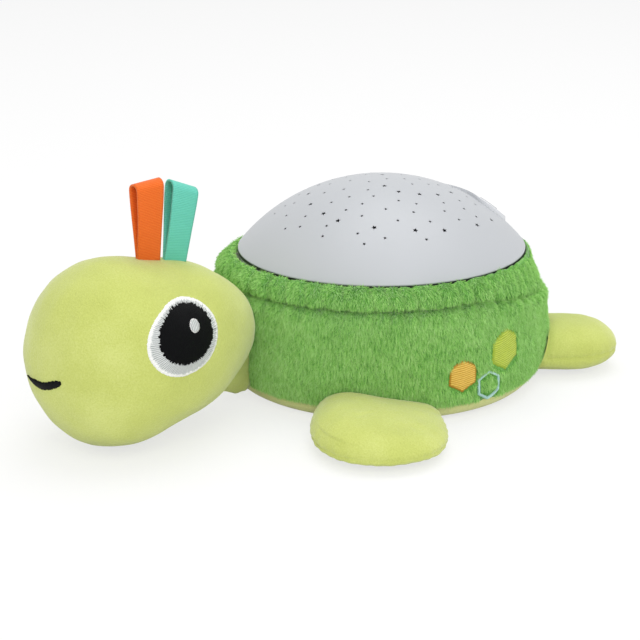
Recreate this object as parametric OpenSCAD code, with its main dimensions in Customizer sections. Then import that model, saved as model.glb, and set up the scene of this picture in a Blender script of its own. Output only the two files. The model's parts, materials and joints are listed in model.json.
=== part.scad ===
// Plush turtle with a lift-out star projector in its back.
// Origin: on the dome axis, at floor level. +Z up, the head points to -Y,
// the turtle's left side is +X. Millimetres.

/* [Dome] */
// Radius of the dome at its rim
dome_rim_r = 70; // [68:0.5:72]
// Rise of the dome above its rim
dome_rise = 33; // [30:1:37]
// Height of the dome rim above the floor
rim_z = 64.5; // [63:0.5:70]
// Wall of the dome
dome_wall = 2; // [1.6:0.1:2.4]
// Height of the upright band under the dome's curve
rim_band = 2; // [1.5:0.25:3]
// Depth of the locating skirt below the band
skirt_depth = 5; // [4:0.5:7]
// Wall of the locating skirt
skirt_wall = 1.8; // [1.4:0.1:2.2]
// Number of places in the star spiral
star_count = 108; // [60:1:130]
// Tilt of the outermost stars from the dome axis
star_max_tilt = 37; // [33:0.5:37.5]
// Tip radius of a large star
star_large_r = 1.5; // [1.3:0.05:1.8]
// Tip radius of a small star
star_small_r = 0.98; // [0.8:0.02:1.1]

/* [Controls] */
// Distance of the control pad's middle line inside the dome's rim
pad_in = 14.5; // [13.5:0.25:16.5]
// Angle between the middle and the end of the control pad
pad_half_angle = 24; // [23:0.5:26]
// Width of the control pad
pad_w = 15.5; // [15:0.25:16.5]
// Height of the control pad above the dome
pad_proud = 1.6; // [1:0.1:2.2]
// Angle between neighbouring buttons
button_step = 20; // [19:0.25:21]
// Radius of a button
button_r = 5; // [4:0.1:5.4]
// Height of a button above the pad
button_proud = 0.3; // [0.2:0.1:1]
// Travel of a button
button_travel = 0.8; // [0.5:0.1:1.2]
// Width of the collar that keeps a button in
button_flange_w = 1.2; // [1:0.1:1.4]
// Thickness of the collar that keeps a button in
button_flange_t = 1.5; // [1:0.1:1.8]
// Radius of a button's stem
button_stem_r = 2.4; // [1.8:0.1:2.6]
// Height of a tact switch without its plunger
switch_h = 3.3; // [2.5:0.1:3.8]
// Side of a tact switch
switch_side = 6; // [5:0.25:6.2]

/* [Base housing] */
// Distance that the dome's rim stands out over the housing
rim_lip = 1; // [0.5:0.25:1.5]
// Difference in radius between the housing's top and its underside
housing_taper = 4.5; // [3.5:0.25:5]
// Wall of the housing
housing_wall = 2.2; // [1.8:0.1:2.5]
// Floor of the housing
housing_floor = 2; // [1.6:0.1:2.6]
// Width of the housing's underside around the raised plate
plate_in = 20.5; // [20:0.5:21.5]
// Height of that plate's underside above the ground
plate_z = 1; // [0.9:0.05:1.2]
// Radius of a rubber foot on the plate
foot_r = 4; // [3:0.25:4.5]
// Distance of the assembly screws inside the edge of the housing's underside
boss_in = 5; // [4.5:0.25:5.5]
// Radius of a screw boss
boss_r = 4.4; // [4.2:0.1:4.6]
// Height of the deck that the bosses carry
deck_z = 46; // [42:0.5:49]
// Thickness of the deck
deck_t = 1.6; // [1.2:0.1:2.4]
// Height of the main board's underside
board_z = 24; // [22:0.5:28]
// Thickness of the circuit boards
board_t = 1.6; // [1:0.1:1.8]
// Length of the main board
board_l = 74; // [70:1:80]
// Width of the main board
board_w = 58; // [54:1:64]
// Radius of the lamp tower
tower_r = 13; // [12:0.5:15]
// Height of the lamp tower above the main board
tower_h = 24; // [23.5:0.5:30]
// Radius of a lamp
lamp_r = 2.5; // [1.5:0.1:3]

/* [Batteries] */
// Diameter of a cell
cell_d = 10.5; // [10.1:0.1:10.8]
// Length of a cell with its button
cell_l = 44.5; // [43.5:0.25:45]
// Number of cells
cell_count = 3; // [2:1:3]
// Room for the contacts at each end of a cell
cell_end = 2.8; // [2.4:0.1:3.2]
// Play between neighbouring cells
cell_gap = 0.5; // [0.3:0.1:0.8]
// Wall around the battery bay
bay_wall = 1.6; // [1.2:0.1:2]
// Thickness of the battery door
door_t = 2; // [1.8:0.1:2.4]
// Overlap of the door over the bay's edge
door_lap = 2.2; // [1.8:0.1:2.6]
// Length of the door's tongue that takes the screw
tongue_l = 8; // [7.5:0.25:9]
// Radius of the door's hinge pins
pin_r = 0.8; // [0.6:0.05:0.8]
// Length of each hinge pin
pin_l = 2; // [1.5:0.1:3]

/* [Body] */
// Distance that the plush body stands out from the dome's rim
body_out = 12; // [11.5:0.25:14]
// Inward reach of the rounded lower edge
edge_in = 15; // [13:0.5:16]
// Height of the rounded lower edge
edge_h = 22; // [20:0.5:24]
// Height of the seam between belly and wall
seam_z = 7.5; // [6:0.25:9]
// Height of the stitched line under the collar
channel_z = 54; // [52:0.5:55]
// Depth of the crease at the stitched line
channel_in = 3.4; // [2:0.2:4]
// Thickness of the plush fabric with its pile
plush_t = 2.4; // [2:0.1:3]
// Thickness of the pocket lining
lining_t = 1; // [0.8:0.1:1.4]
// Gap between the raised plate and the edge of the belly's opening
hole_gap = 2; // [1.5:0.25:4]
// Height of the collar's top above the dome rim
collar_rise = 0.75; // [0.25:0.25:2]
// Thickness of the elastic band
elastic_t = 1; // [0.8:0.1:1.4]
// Height of the elastic band
elastic_h = 5; // [4:0.25:6]

/* [Head] */
// Length of the head
head_l = 109.4; // [104:0.2:114]
// Diameter of the head at the middle of its length
head_d = 83; // [78:0.5:88]
// Swelling of the head towards the nose, as a share of its radius
head_egg = 0.22; // [0.1:0.01:0.3]
// Distance of the head's middle in front of the shell
head_out = 52.6; // [49:0.2:56]
// Half width of the neck
neck_half_w = 6.5; // [6:0.25:8]
// Half height of the neck
neck_half_h = 24; // [21:0.5:25]
// Height of the neck's middle
neck_z = 30; // [28:0.5:33]
// Thickness of the short-pile fabric
skin_t = 1.8; // [1.4:0.1:2.2]
// Half length of the white of the eye
eye_half_l = 19.4; // [18:0.2:20.4]
// Half height of the white of the eye
eye_half_h = 14.9; // [14:0.1:15.6]
// Half length of the pupil
pupil_half_l = 14.4; // [13:0.2:15]
// Half height of the pupil
pupil_half_h = 10.9; // [10:0.1:11.4]
// Radius of the highlight
highlight_r = 2.9; // [2:0.1:3.6]
// Half length of the smile
mouth_half = 16.5; // [13:0.5:18]
// Rise of the smile's ends above its middle
mouth_rise = 5.6; // [3:0.2:8]
// Thickness of the smile's stitching
mouth_w = 2.8; // [2:0.1:3.4]
// Thickness of embroidery on the fabric
stitch_t = 0.8; // [0.5:0.05:1]

/* [Ribbons] */
// Width of a ribbon
ribbon_w = 13; // [11:0.5:13.4]
// Thickness of a ribbon
ribbon_t = 0.8; // [0.6:0.05:1.2]
// Height of a ribbon loop
ribbon_h = 33.5; // [30:0.5:38]
// Inner width of a loop at its top
ribbon_gap = 5.6; // [5:0.2:7]
// Distance of the front ribbon's middle behind the head's middle
ribbon_back = 3.1; // [0.6:0.1:5.6]

/* [Flippers] */
// Angle of a front flipper from the head
front_angle = 51; // [48:0.5:54]
// Reach of a front flipper out of the shell
front_out = 51.5; // [48:0.5:55]
// Half width of a front flipper
front_r = 30.5; // [28:0.5:32]
// Angle of a rear foot from the head
rear_angle = 143; // [139:0.5:147]
// Reach of a rear foot out of the shell
rear_out = 35.5; // [32:0.5:39]
// Half width of a rear foot
rear_r = 25; // [23:0.5:27]
// Thickness of a front flipper
front_h = 22; // [20:0.5:24]
// Thickness of a rear foot
rear_h = 24.5; // [22.5:0.5:26.5]
// Height of a flipper's edge seam above its underside
flipper_seam = 6.5; // [5.5:0.25:8]

/* [Patches] */
// Radius of the orange hexagon
patch_orange_r = 8.1; // [6.5:0.1:8.6]
// Radius of the lime hexagon
patch_lime_r = 10.2; // [8.6:0.1:10.6]
// Radius of the outlined hexagon
patch_outline_r = 7.3; // [6:0.1:7.6]
// Width of the outline's stitching
outline_w = 1.5; // [1:0.1:2]

/* [Clearances] */
// Gap between pieces that slide or turn past each other
run_gap = 0.35; // [0.3:0.01:0.45]
// Gap between pieces that are assembled and stay put
seat_gap = 0.25; // [0.2:0.01:0.3]
// Gap between the housing and its pocket
pocket_gap = 0.8; // [0.5:0.1:1]
// Radial play of a hinge pin in its hole
pin_gap = 0.06; // [0.03:0.01:0.1]
// Gap between the dome rim and the collar
collar_gap = 0.9; // [0.6:0.1:1.5]
// Gap between the floor and what the belly carries
floor_gap = 0.3; // [0.2:0.05:0.4]

/* [Hidden] */
$fn = 72;
e = 0.01;
PLUSH_GREEN = "#6FB04E";
PLUSH_LIME = "#D3DD7C";
DOME_GREY = "#CDCFD6";
KEY_GREY = "#C6C8CF";

// rings that are set from the dome's rim inwards and outwards
pad_ring_r = dome_rim_r - pad_in;
housing_top_r = dome_rim_r - rim_lip;
housing_low_r = housing_top_r - housing_taper;
plate_r = housing_low_r - plate_in;
boss_ring_r = housing_low_r - boss_in;
body_r = dome_rim_r + body_out;
belly_hole_r = plate_r + hole_gap;

// dome
dome_ball_r = (dome_rim_r * dome_rim_r + dome_rise * dome_rise) / (2 * dome_rise);
dome_ball_z = rim_z + dome_rise - dome_ball_r;
dome_in_r = dome_ball_r - dome_wall;
band_low_z = rim_z - rim_band;
skirt_r = housing_top_r - housing_wall - seat_gap;
skirt_low_z = band_low_z - skirt_depth;

// base housing: it stands on the belly fabric, its plate in the belly's opening
housing_z = plush_t + seat_gap;
inner_floor_z = housing_z + housing_floor;
foot_sink = 0.6;
FOOT_AT = [plate_r - foot_r - 4.5, 13];

// assembly screws, their bosses and the posts they bite into
screw_r = 1.5;
screw_head_r = 2.8;
screw_head_h = 2.2;
post_r = 3.2;
post_bore = screw_r + 0.05;
boss_top_z = deck_z;
boss_neck = 6;
screw_bite = 8;
pan_head_r = 2.1;
pan_head_h = 1.3;
pan_r = 1.1;
pan_play = 0.04;
BOSS_ANGLES = [45, 135, 225, 315];

// controls: one tilted frame for everything that the buttons need
pad_tilt = asin(pad_ring_r / dome_ball_r);
pad_out_r = dome_ball_r + pad_proud;
button_top_r = pad_out_r + button_proud;
flange_r = button_r + button_flange_w;
flange_top_r = dome_in_r - seat_gap;
flange_low_r = flange_top_r - button_flange_t;
button_side = pad_ring_r * sin(button_step);
button_rest_y = pad_ring_r * cos(button_step);
button_rest_z = sqrt(dome_ball_r ^ 2 - pad_ring_r ^ 2);
button_side_y = button_rest_y * cos(pad_tilt) - button_rest_z * sin(pad_tilt);
stem_low = sqrt(flange_low_r ^ 2 - (button_side + flange_r) ^ 2 - button_side_y ^ 2) - 1.2;
plunger_h = 1.2;
plunger_r = 1.7;
switch_top = stem_low - button_travel - seat_gap;
keys_top = switch_top - plunger_h - switch_h;
keys_post_r = 2.3;
keys_post_x = button_side + flange_r + keys_post_r + 1.3;
keys_half_l = keys_post_x + keys_post_r + 0.9;
keys_y_low = -9.5;
keys_y_high = 7;
keys_bite = 4;
BUTTON_AT = [[-button_side, button_side_y], [0, 0], [button_side, button_side_y]];

// battery bay, door and hinge
bay_w = cell_count * cell_d + (cell_count + 1) * cell_gap;
bay_l = cell_l + 2 * cell_end;
door_z = plate_z;
bay_low_z = door_z + door_t;
cell_z = bay_low_z + cell_gap + cell_d / 2;
bay_top_z = cell_z + cell_d / 2 + cell_gap;
door_w = bay_w + 2 * door_lap;
knuckle_r = 1.75;
hinge_y = -(bay_l / 2 + bay_wall + knuckle_r + run_gap);
hinge_z = door_z + knuckle_r;
hinge_block_h = hinge_z + knuckle_r + run_gap + 1.2 - housing_z - housing_floor;
door_far_y = bay_l / 2 + tongue_l;
nub_l = 1;
nub_r = 1.9;
touch_gap = 0.1;
contact_t = 0.4;
contact_y = bay_l / 2 - contact_t - touch_gap;
cell_shift = contact_y - touch_gap - cell_l / 2;
spring_l = 2 * contact_y - cell_l - 3 * touch_gap;
spring_turns = 5;
spring_r = 3.6;
tab_w = 3;
tab_x = bay_w / 2 - tab_w;
lead_r = 0.6;
door_screw_y = bay_l / 2 + bay_wall + 3;
door_screw_r = 1.3;
door_screw_head_r = 2.4;
door_screw_head_h = 1.1;
door_screw_l = 6;
door_boss_r = 3;
door_boss_top = bay_low_z + door_screw_l + 1.5;

// boards, deck and lamps
board_top_z = board_z + board_t;
standoff_r = 3;
standoff_bite = 7;
STANDOFFS = [for (x = [-1, 1], y = [-1, 1]) [x * (board_l / 2 - 5), y * (board_w / 2 - 5)]];
lamp_board_z = board_top_z + tower_h;
lamp_board_t = 1.2;
lamp_ring = tower_r * 0.42;
lamp_h = 6;
LAMP_AT = [90, 210, 330];
cable_w = 8;
cable_t = 0.8;
deck_slot_y = 20;
deck_slot_l = 22;
cable_bend = cable_w / 2;

// body profile
wall_in_r = body_r - plush_t;
channel_r = body_r - channel_in;
collar_top_z = rim_z + collar_rise;
collar_in_r = dome_rim_r + collar_gap;
collar_w = channel_r + 1 - collar_in_r;
collar_round_z = collar_top_z - collar_w;
collar_low_z = channel_z + 0.4;
shoulder_z = channel_z - 12;
lining_top_z = channel_z - 0.4;
lining_low_z = plush_t + seat_gap;

// hexagons on the flank: [angle from the head, height]
ORANGE_AT = [78.2, 22.3];
LIME_AT = [95.7, 30.3];
OUTLINE_AT = [89.2, 14];

// head frame
head_dist = body_r + head_out;
head_r = head_d / 2;
head_half = head_l / 2;
// Place along the head, as a share of its half length, where it is thickest.
head_fat_s = (sqrt(1 + 8 * head_egg ^ 2) - 1) / (4 * head_egg);
head_z = head_r * sqrt(1 - head_fat_s ^ 2) * (1 + head_egg * head_fat_s) + floor_gap;
neck_front = head_dist - head_half * 0.45;
neck_bite = 12;

// embroidery on the head: [forward, up] from its middle, and how far its front turns down
EYE_AT = [3.4, 13.1];
EYE_TURN = 13;
PUPIL_AT = [2.1, 14.5];
PUPIL_TURN = 9;
HIGHLIGHT_AT = [-2.1, 17.3];
mouth_low = -7.4;

// ribbons
ribbon_dist = head_dist - ribbon_back;
orange_lean = 1;
teal_lean = 9;
ribbon_step = ribbon_w + 0.2;
ribbon_foot = 0.45;
ribbon_sink = 1.6;
stitch_gap = 0.1;

// flippers
front_tip = body_r + front_out;
rear_tip = body_r + rear_out;
flipper_low = floor_gap;
root_gap = run_gap;

// ---------- dome and controls ----------

// Everything a button needs stands along the pad's own normal.
module at_controls() {
    translate([0, 0, dome_ball_z]) rotate([-pad_tilt, 0, 0]) children();
}

module dome_ball(r) {
    translate([0, 0, dome_ball_z]) sphere(r, $fn = 120);
}

module star_shape(r) {
    polygon([for (i = [0:9]) let (a = 90 + i * 36, q = i % 2 == 0 ? r : r * 0.46) [q * cos(a), q * sin(a)]]);
}

// The stars lie on a spiral of equal areas, each pushed a little off its place.
function star_tilt(i) = star_max_tilt * sqrt((i + 0.35 + 0.5 * rands(0, 1, 1, 11 + i)[0]) / star_count);
function star_turn(i) = i * 137.508 + 16 * rands(-1, 1, 1, 401 + i)[0] / sqrt(1 + i / 6);
function star_r(i) = i % 4 == 1 ? star_large_r : star_small_r;
function from_tail(turn) = abs(((turn - 90) % 360 + 540) % 360 - 180);
function under_pad(i) = from_tail(star_turn(i)) < pad_half_angle + 18
    && dome_ball_r * sin(star_tilt(i)) > pad_ring_r - pad_w / 2 - 3;

module star_cuts() {
    for (i = [0:star_count - 1])
        if (!under_pad(i))
            translate([0, 0, dome_ball_z])
                rotate([0, star_tilt(i), star_turn(i)])
                    translate([0, 0, dome_in_r - 1])
                        rotate([0, 0, i * 47])
                            linear_extrude(dome_wall + 2) star_shape(star_r(i));
}

module button_bores(r) {
    at_controls() for (p = BUTTON_AT) translate([p[0], p[1], stem_low]) cylinder(h = dome_ball_r, r = r);
}

module at_bosses() {
    for (a = BOSS_ANGLES) rotate([0, 0, a]) translate([boss_ring_r, 0, 0]) children();
}

module star_dome() {
    color(DOME_GREY) difference() {
        union() {
            intersection() {
                dome_ball(dome_ball_r);
                translate([0, 0, rim_z]) cylinder(h = dome_rise + 1, r = dome_rim_r + 1);
            }
            translate([0, 0, band_low_z]) cylinder(h = rim_band, r = dome_rim_r);
            translate([0, 0, skirt_low_z]) cylinder(h = skirt_depth, r = skirt_r);
        }
        difference() {
            intersection() {
                dome_ball(dome_in_r);
                translate([0, 0, rim_z - e]) cylinder(h = dome_rise + 1, r = dome_rim_r);
            }
            dome_posts();
            keys_posts();
        }
        difference() {
            translate([0, 0, skirt_low_z - 1])
                cylinder(h = rim_z - skirt_low_z + 1 + e, r = skirt_r - skirt_wall);
            dome_posts();
        }
        star_cuts();
        button_bores(button_r + run_gap);
        at_controls() for (s = [-1, 1]) translate([s * keys_post_x, 0, keys_top - 1])
            cylinder(h = 1 + keys_bite, r = pan_r + pan_play);
    }
    color(DOME_GREY) difference() {
        intersection() {
            dome_posts();
            cylinder(h = rim_z, r = dome_rim_r);
        }
        at_bosses() translate([0, 0, boss_top_z]) cylinder(h = screw_bite + 2, r = post_bore);
    }
}

// Posts that the assembly screws bite into; the dome trims their tops.
module dome_posts() {
    at_bosses() translate([0, 0, boss_top_z + seat_gap])
        cylinder(h = rim_z + dome_rise - boss_top_z, r = post_r);
}

// Posts that hold the button board, grown from the inside of the dome.
module keys_posts() {
    at_controls() for (s = [-1, 1])
        translate([s * keys_post_x, 0, keys_top]) cylinder(h = dome_ball_r - keys_top, r = keys_post_r);
}

module pad_plan(w) {
    rotate([0, 0, 90 - pad_half_angle]) rotate_extrude(angle = 2 * pad_half_angle)
        translate([pad_ring_r - w / 2, 0]) square([w, dome_ball_r + 20]);
    for (s = [-1, 1]) rotate([0, 0, s * pad_half_angle]) translate([0, pad_ring_r, 0])
        cylinder(h = dome_ball_r + 20, r = w / 2);
}

module control_pad() {
    color("#EEEFF1") difference() {
        intersection() {
            difference() {
                dome_ball(pad_out_r);
                dome_ball(dome_ball_r);
            }
            translate([0, 0, dome_ball_z]) pad_plan(pad_w);
        }
        button_bores(button_r + run_gap);
    }
}

module button(i) {
    p = BUTTON_AT[i];
    intersection() {
        dome_ball(button_top_r);
        at_controls() translate([p[0], p[1], flange_low_r - 6]) cylinder(h = 30, r = button_r);
        difference() {
            dome_ball(button_top_r + 1);
            dome_ball(flange_low_r);
        }
    }
    intersection() {
        difference() {
            dome_ball(flange_top_r);
            dome_ball(flange_low_r);
        }
        at_controls() translate([p[0], p[1], flange_low_r - 12]) cylinder(h = 30, r = flange_r);
    }
    intersection() {
        dome_ball(flange_top_r);
        at_controls() translate([p[0], p[1], stem_low]) cylinder(h = 20, r = button_stem_r);
    }
}

module power_button() {
    color(KEY_GREY) button(1);
}

module color_button() {
    color(KEY_GREY) button(0);
}

module timer_button() {
    color(KEY_GREY) button(2);
}

module button_board() {
    color("#2F7D4B") at_controls() difference() {
        translate([-keys_half_l, keys_y_low, keys_top - board_t])
            cube([2 * keys_half_l, keys_y_high - keys_y_low, board_t]);
        for (s = [-1, 1]) translate([s * keys_post_x, 0, keys_top - board_t - 1])
            cylinder(h = board_t + 2, r = pan_r + 2 * pan_play);
    }
}

module tact_switches() {
    color("#26282B") at_controls() for (p = BUTTON_AT) translate([p[0], p[1], keys_top]) {
        translate([-switch_side / 2, -switch_side / 2, 0]) cube([switch_side, switch_side, switch_h]);
        cylinder(h = switch_h + plunger_h, r = plunger_r);
    }
}

// One small pan-head screw, head down, its tip along +Z.
module small_screw(l) {
    translate([0, 0, -pan_head_h]) cylinder(h = pan_head_h, r = pan_head_r);
    translate([0, 0, -e]) cylinder(h = l, r = pan_r);
}

module board_screws() {
    color("#B9BCC0") {
        at_controls() for (s = [-1, 1]) translate([s * keys_post_x, 0, keys_top - board_t])
            small_screw(board_t + keys_bite - 0.5);
        for (p = STANDOFFS) translate([p[0], p[1], board_top_z]) rotate([180, 0, 0])
            small_screw(board_t + standoff_bite - 0.5);
    }
}

module button_cable() {
    low_y = board_w / 2 - 0.75 * cable_w;
    top_y = (keys_y_low + 3) * cos(pad_tilt) + (keys_top - board_t) * sin(pad_tilt);
    top_z = dome_ball_z - (keys_y_low + 3) * sin(pad_tilt) + (keys_top - board_t) * cos(pad_tilt);
    color("#D9D9D4") translate([-cable_w / 2, 0, 0]) rotate([90, 0, 90]) linear_extrude(cable_w) {
        polygon([
            [low_y, board_top_z], [low_y + cable_t, board_top_z],
            [low_y + cable_t + cable_bend, deck_z - cable_bend], [top_y + cable_t, top_z - 1.5 * cable_bend],
            [top_y + cable_t, top_z - cable_t * tan(pad_tilt) - touch_gap], [top_y, top_z - touch_gap],
            [top_y, top_z - 1.5 * cable_bend], [low_y + cable_bend, deck_z - cable_bend]
        ]);
    }
}

// ---------- base housing and what it holds ----------

// Inner radius of the housing's sloping wall at height z.
function housing_in_r(z) = housing_low_r - housing_wall
    + (housing_top_r - housing_low_r) * (z - inner_floor_z) / (skirt_low_z - 1 - inner_floor_z);

module housing_profile(inset, low_z, top_z) {
    polygon([
        [0, low_z], [housing_low_r - inset, low_z],
        [housing_top_r - inset, skirt_low_z - 1], [housing_top_r - inset, top_z], [0, top_z]
    ]);
}

module base_housing() {
    color("#E4E6E9") difference() {
        union() {
            difference() {
                rotate_extrude() housing_profile(0, housing_z, band_low_z - seat_gap);
                rotate_extrude() housing_profile(housing_wall, inner_floor_z, band_low_z + 1);
            }
            translate([0, 0, plate_z]) cylinder(h = housing_z - plate_z + e, r = plate_r);
            at_bosses() translate([0, 0, housing_z + e]) cylinder(h = boss_top_z - housing_z - e, r = boss_r);
            for (p = STANDOFFS) translate([p[0], p[1], inner_floor_z - e])
                cylinder(h = board_z - inner_floor_z + e, r = standoff_r);
            translate([-bay_w / 2 - bay_wall, -bay_l / 2 - bay_wall, inner_floor_z - e])
                cube([bay_w + 2 * bay_wall, bay_l + 2 * bay_wall, bay_top_z + bay_wall - inner_floor_z]);
            translate([0, door_screw_y, inner_floor_z - e])
                cylinder(h = door_boss_top - inner_floor_z, r = door_boss_r);
            translate([-door_w / 2 - pin_l - 2, hinge_y - knuckle_r - 1.5, inner_floor_z - e])
                cube([door_w + 2 * pin_l + 4, 2 * knuckle_r + 3, hinge_block_h]);
        }
        translate([-bay_w / 2, -bay_l / 2, housing_z - 5]) cube([bay_w, bay_l, bay_top_z - housing_z + 5]);
        door_recess();
        translate([0, door_screw_y, housing_z - 2])
            cylinder(h = door_boss_top - housing_z + 1, r = door_screw_r + run_gap + 0.2);
        at_bosses() translate([0, 0, housing_z - 1])
            cylinder(h = boss_top_z - boss_neck - housing_z + 1, r = screw_head_r + 0.3);
        at_bosses() translate([0, 0, housing_z]) cylinder(h = boss_top_z, r = screw_r + 0.2);
        for (p = STANDOFFS) translate([p[0], p[1], board_z - standoff_bite])
            cylinder(h = standoff_bite + 1, r = pan_r + pan_play);
        for (s = [-1, 1]) translate([s * (door_w / 2 - 1), hinge_y, hinge_z]) rotate([0, s * 90, 0])
            cylinder(h = pin_l + run_gap + 1.4, r = pin_r + pin_gap);
        at_feet() translate([0, 0, -1]) cylinder(h = 1 + plate_z + foot_sink, r = foot_r + 0.1);
        for (s = [-1, 1]) translate([s * tab_x, s * (bay_l / 2 - tab_w / 2), bay_top_z])
            cube([tab_w + 2 * run_gap, tab_w, 2 * bay_wall + 2], center = true);
    }
}

// The recess that the door lies in, with a round end around the hinge.
module door_recess() {
    translate([-door_w / 2 - run_gap, hinge_y, door_z - 1])
        cube([door_w + 2 * run_gap, door_far_y - hinge_y + run_gap, door_t + 1]);
    translate([0, hinge_y, hinge_z]) rotate([0, 90, 0])
        cylinder(h = door_w + 2 * run_gap, r = knuckle_r + run_gap, center = true);
    translate([-door_w / 2 - run_gap, hinge_y - knuckle_r - run_gap, door_z - 1])
        cube([door_w + 2 * run_gap, knuckle_r + run_gap + e, 1 + knuckle_r]);
}

module battery_door() {
    color("#DADCE0") difference() {
        union() {
            translate([-door_w / 2, hinge_y, door_z]) cube([door_w, door_far_y - hinge_y, door_t - seat_gap]);
            translate([0, hinge_y, hinge_z]) rotate([0, 90, 0])
                cylinder(h = door_w, r = knuckle_r, center = true);
            translate([0, hinge_y, hinge_z]) rotate([0, 90, 0])
                cylinder(h = door_w + 2 * run_gap + 2 * pin_l, r = pin_r, center = true);
        }
        translate([0, door_screw_y, door_z - 1]) cylinder(h = door_t + 2, r = door_screw_r + 0.05);
        translate([0, door_screw_y, door_z - 1])
            cylinder(h = 1 + door_screw_head_h, r = door_screw_head_r + 0.2);
    }
}

module door_screw() {
    color("#A8ABAF") translate([0, door_screw_y, door_z]) difference() {
        union() {
            cylinder(h = door_screw_head_h, r = door_screw_head_r);
            cylinder(h = door_t + door_screw_l, r = door_screw_r);
        }
        for (a = [0, 90]) rotate([0, 0, a]) translate([-1.5, -0.3, -1]) cube([3, 0.6, 1.7]);
    }
}

module at_feet() {
    for (x = [-1, 1], y = [-1, 1]) translate([x * FOOT_AT[0], y * FOOT_AT[1], 0]) children();
}

module rubber_feet() {
    color("#3C3F42") at_feet() translate([0, 0, floor_gap])
        cylinder(h = plate_z + foot_sink - floor_gap, r = foot_r);
}

module housing_screws() {
    color("#A8ABAF") at_bosses() translate([0, 0, boss_top_z - boss_neck]) {
        translate([0, 0, -screw_head_h]) cylinder(h = screw_head_h, r = screw_head_r);
        translate([0, 0, -e]) cylinder(h = boss_neck + screw_bite, r = screw_r);
    }
}

module inner_deck() {
    color("#3A3C42") translate([0, 0, deck_z]) difference() {
        cylinder(h = deck_t, r = housing_in_r(deck_z) - run_gap);
        translate([0, 0, -1]) cylinder(h = deck_t + 2, r = tower_r + 0.6);
        at_bosses() translate([0, 0, -1]) cylinder(h = deck_t + 2, r = post_r + seat_gap);
        translate([-cable_w / 2 - 1.5, deck_slot_y, -1]) cube([cable_w + 3, deck_slot_l, deck_t + 2]);
    }
}

module main_board() {
    color("#2F7D4B") difference() {
        translate([-board_l / 2, -board_w / 2, board_z]) cube([board_l, board_w, board_t]);
        for (p = STANDOFFS) translate([p[0], p[1], board_z - 1])
            cylinder(h = board_t + 2, r = pan_r + 2 * pan_play);
    }
}

module board_parts() {
    color("#222428") {
        chip(board_l / 3, -board_w / 5, board_l / 7, board_w / 7, board_t);
        chip(-board_l / 3, -board_w / 14, board_l / 12, board_w / 5, board_t);
        can(board_l / 3, board_w / 5, board_l / 24, tower_h / 3);
        can(-board_l / 3, board_w / 4, board_l / 28, tower_h / 3.4);
    }
}

// A flat chip and an upright capacitor, each by its middle on the main board.
module chip(x, y, w, l, h) {
    translate([x - w / 2, y - l / 2, board_top_z]) cube([w, l, h]);
}

module can(x, y, r, h) {
    translate([x, y, board_top_z]) cylinder(h = h, r = r);
}

module light_tower() {
    color("#F2F2F0") translate([0, 0, board_top_z]) difference() {
        cylinder(h = tower_h, r = tower_r);
        translate([0, 0, -1]) cylinder(h = tower_h + 2, r = tower_r - 1.6);
    }
}

module lamp_board() {
    color("#F7F7F5") translate([0, 0, lamp_board_z]) cylinder(h = lamp_board_t, r = tower_r);
}

module lamp(turn) {
    rotate([0, 0, turn]) translate([lamp_ring, 0, lamp_board_z + lamp_board_t]) {
        cylinder(h = 1, r = lamp_r + 0.4);
        cylinder(h = lamp_h, r = lamp_r);
        translate([0, 0, lamp_h]) intersection() {
            sphere(lamp_r);
            translate([0, 0, -e]) cylinder(h = lamp_r + 1, r = lamp_r + 1);
        }
    }
}

module lamp_red() {
    color("#E2483C") lamp(LAMP_AT[0]);
}

module lamp_green() {
    color("#4CB35A") lamp(LAMP_AT[1]);
}

module lamp_blue() {
    color("#3F74D1") lamp(LAMP_AT[2]);
}

// Cell i of the row, at its place across the bay, every second one turned round.
function cell_x(i) = (i - (cell_count - 1) / 2) * (cell_d + cell_gap);
function cell_side(i) = i % 2 == 0 ? 1 : -1;
module at_cells() {
    for (i = [0:cell_count - 1])
        translate([cell_x(i), 0, cell_z]) rotate([-90 * cell_side(i), 0, 0]) children();
}

module batteries() {
    color("#3B6FB5") at_cells() translate([0, 0, cell_shift - cell_l / 2]) {
        cylinder(h = cell_l - nub_l, r = cell_d / 2);
        cylinder(h = cell_l, r = nub_r);
    }
}

// A short cone of touching wire turns behind each cell's flat end.
module battery_springs() {
    pitch = 1.7;
    wire = spring_l / (2 + (spring_turns - 1) * pitch);
    color("#C9CCCF") at_cells() for (t = [0:spring_turns - 1])
        translate([0, 0, -contact_y + touch_gap + wire * (1 + t * pitch)])
            rotate_extrude() translate([spring_r - wire * t / 2, 0]) circle(wire, $fn = 24);
}

module battery_contacts() {
    edge = 0.4;
    color("#C9CCCF") for (s = [-1, 1]) {
        translate([-bay_w / 2 + edge, s * (contact_y + contact_t / 2) - contact_t / 2, bay_low_z + 2 * edge])
            cube([bay_w - 2 * edge, contact_t, bay_top_z - bay_low_z - 3 * edge]);
        translate([s * tab_x - tab_w / 2, s * (contact_y + contact_t / 2) - contact_t / 2, cell_z])
            cube([tab_w, contact_t, bay_top_z + 2 * bay_wall - cell_z]);
    }
}

module battery_leads() {
    color("#C0342B") for (s = [-1, 1])
        translate([s * tab_x, s * (contact_y - touch_gap - lead_r), bay_top_z + bay_wall + touch_gap])
            cylinder(h = board_z - bay_top_z - bay_wall - 2 * touch_gap, r = lead_r);
}

// ---------- plush body ----------

// Outer line of the body below the collar, moved out by d, from height z_low to z_high.
function edge_point(a, d) =
    let (n = norm([edge_h * sin(a), edge_in * cos(a)]))
    [body_r - edge_in + edge_in * sin(a) + d * edge_h * sin(a) / n,
     edge_h * (1 - cos(a)) - d * edge_in * cos(a) / n];
function shoulder_point(f, d) = [
    channel_r + (body_r - channel_r) * cos(f * 90) + d,
    shoulder_z + (channel_z - shoulder_z) * sin(f * 90)
];
function body_line(d) = concat(
    [for (a = [0:10:90]) edge_point(a, d)],
    [for (i = [0:6]) shoulder_point(i / 6, d)]
);

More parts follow.
